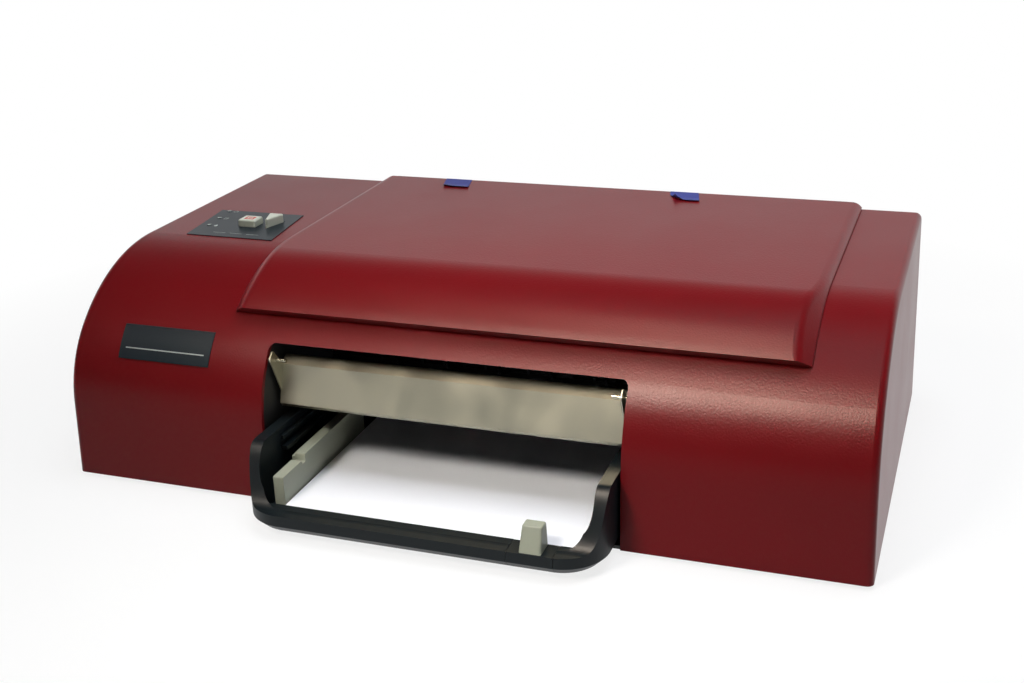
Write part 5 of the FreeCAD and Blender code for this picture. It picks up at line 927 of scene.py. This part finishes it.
def hang_lamps(settings):
    """A narrow key lamp, two lamps for the highlights and a soft lamp overhead."""
    centre = (0.05, -0.1, 0.1)
    key = area(
        "key_lamp", place=(-0.45, -1.1, 1.25), target=(0.08, -0.2, 0.03), width=0.5, depth=0.4,
        watts=settings.key_power, tint="fff8ee",
    )
    key.data.spread = math.radians(36)
    glint = area(
        "glint_lamp", place=(-0.12, -1.08, 1.48), target=centre, width=0.8, depth=0.6,
        watts=settings.glint_power, tint="ffe9d2",
    )
    glint.visible_diffuse = False
    # The lid is lit apart, so that its own bend carries a soft band of light.
    flag = area(
        "lid_lamp", place=(-0.1, -0.39, 1.69), target=centre, width=0.7, depth=0.35,
        watts=settings.lid_power, tint="ffe9d2",
    )
    flag.visible_diffuse = False
    lit_alone = bpy.data.collections.new("lid_light")
    lit_alone.objects.link(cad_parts["lid"])
    flag.light_linking.receiver_collection = lit_alone
    soft = area(
        "soft_lamp", place=(0.35, 0.05, 1.8), target=(0.3, -0.05, 0.1), width=1.2, depth=1.2,
        watts=settings.soft_power, tint="f6f9ff",
    )
    soft.data.spread = math.radians(80)
    soft.visible_glossy = False


def stand_camera(settings):
    """Camera at its place, turned by its yaw, pitch and roll."""
    yaw, pitch, roll = settings.camera_turn
    ahead = Vector((-math.sin(yaw) * math.cos(pitch), math.cos(yaw) * math.cos(pitch), -math.sin(pitch)))
    level = Vector((math.cos(yaw), math.sin(yaw), 0))
    over = level.cross(ahead)
    across = level * math.cos(roll) + over * math.sin(roll)
    upward = over * math.cos(roll) - level * math.sin(roll)
    lens = bpy.data.cameras.new("camera")
    lens.sensor_width = SENSOR_WIDTH
    lens.lens = settings.lens
    camera = bpy.data.objects.new("camera", lens)
    bpy.context.scene.collection.objects.link(camera)
    turn = Matrix((across, upward, -ahead)).transposed().to_4x4()
    camera.matrix_world = Matrix.Translation(settings.camera_place) @ turn
    return camera


class PRINTER_OT_stage(bpy.types.Operator):
    """Pale floor, soft studio light and the camera"""

    bl_idname = "printer.stage"
    bl_label = "Stage"

    def execute(self, context):
        scene = context.scene
        scene.view_settings.view_transform = "Standard"
        scene.world = studio_world()
        bm = bmesh.new()
        bmesh.ops.create_grid(bm, x_segments=4, y_segments=4, size=FLOOR_REACH)
        mesh = bpy.data.meshes.new("floor")
        bm.to_mesh(mesh)
        bm.free()
        mesh.materials.append(sweep_material())
        floor = bpy.data.objects.new("floor", mesh)
        scene.collection.objects.link(floor)
        hang_lamps(scene.printer_stage)
        scene.camera = stand_camera(scene.printer_stage)
        return {"FINISHED"}


STEPS = (
    PRINTER_OT_housing, PRINTER_OT_front, PRINTER_OT_tray, PRINTER_OT_paper, PRINTER_OT_panel,
    PRINTER_OT_tape, PRINTER_OT_rear, PRINTER_OT_mechanism, PRINTER_OT_stage,
)
GROUPS = (PrinterFinishes, PrinterSizes, PrinterStage)


class PRINTER_PT_dressing(bpy.types.Panel):
    """Buttons for each group of pieces"""

    bl_idname = "PRINTER_PT_dressing"
    bl_label = "Desk printer"
    bl_space_type = "VIEW_3D"
    bl_region_type = "UI"
    bl_category = "Printer"

    def draw(self, context):
        for step in STEPS:
            self.layout.operator(step.bl_idname)


def register():
    """Register the classes and the scene's properties."""
    for kind in GROUPS + STEPS + (PRINTER_PT_dressing,):
        bpy.utils.register_class(kind)
    bpy.types.Scene.printer_finishes = bpy.props.PointerProperty(type=PrinterFinishes)
    bpy.types.Scene.printer_sizes = bpy.props.PointerProperty(type=PrinterSizes)
    bpy.types.Scene.printer_stage = bpy.props.PointerProperty(type=PrinterStage)


def unregister():
    """Undo register."""
    del bpy.types.Scene.printer_stage
    del bpy.types.Scene.printer_sizes
    del bpy.types.Scene.printer_finishes
    for kind in reversed(GROUPS + STEPS + (PRINTER_PT_dressing,)):
        bpy.utils.unregister_class(kind)


def main():
    """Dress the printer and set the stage."""
    register()
    for step in STEPS:
        group, name = step.bl_idname.split(".")
        getattr(getattr(bpy.ops, group), name)()


if __name__ == "__main__":
    main()
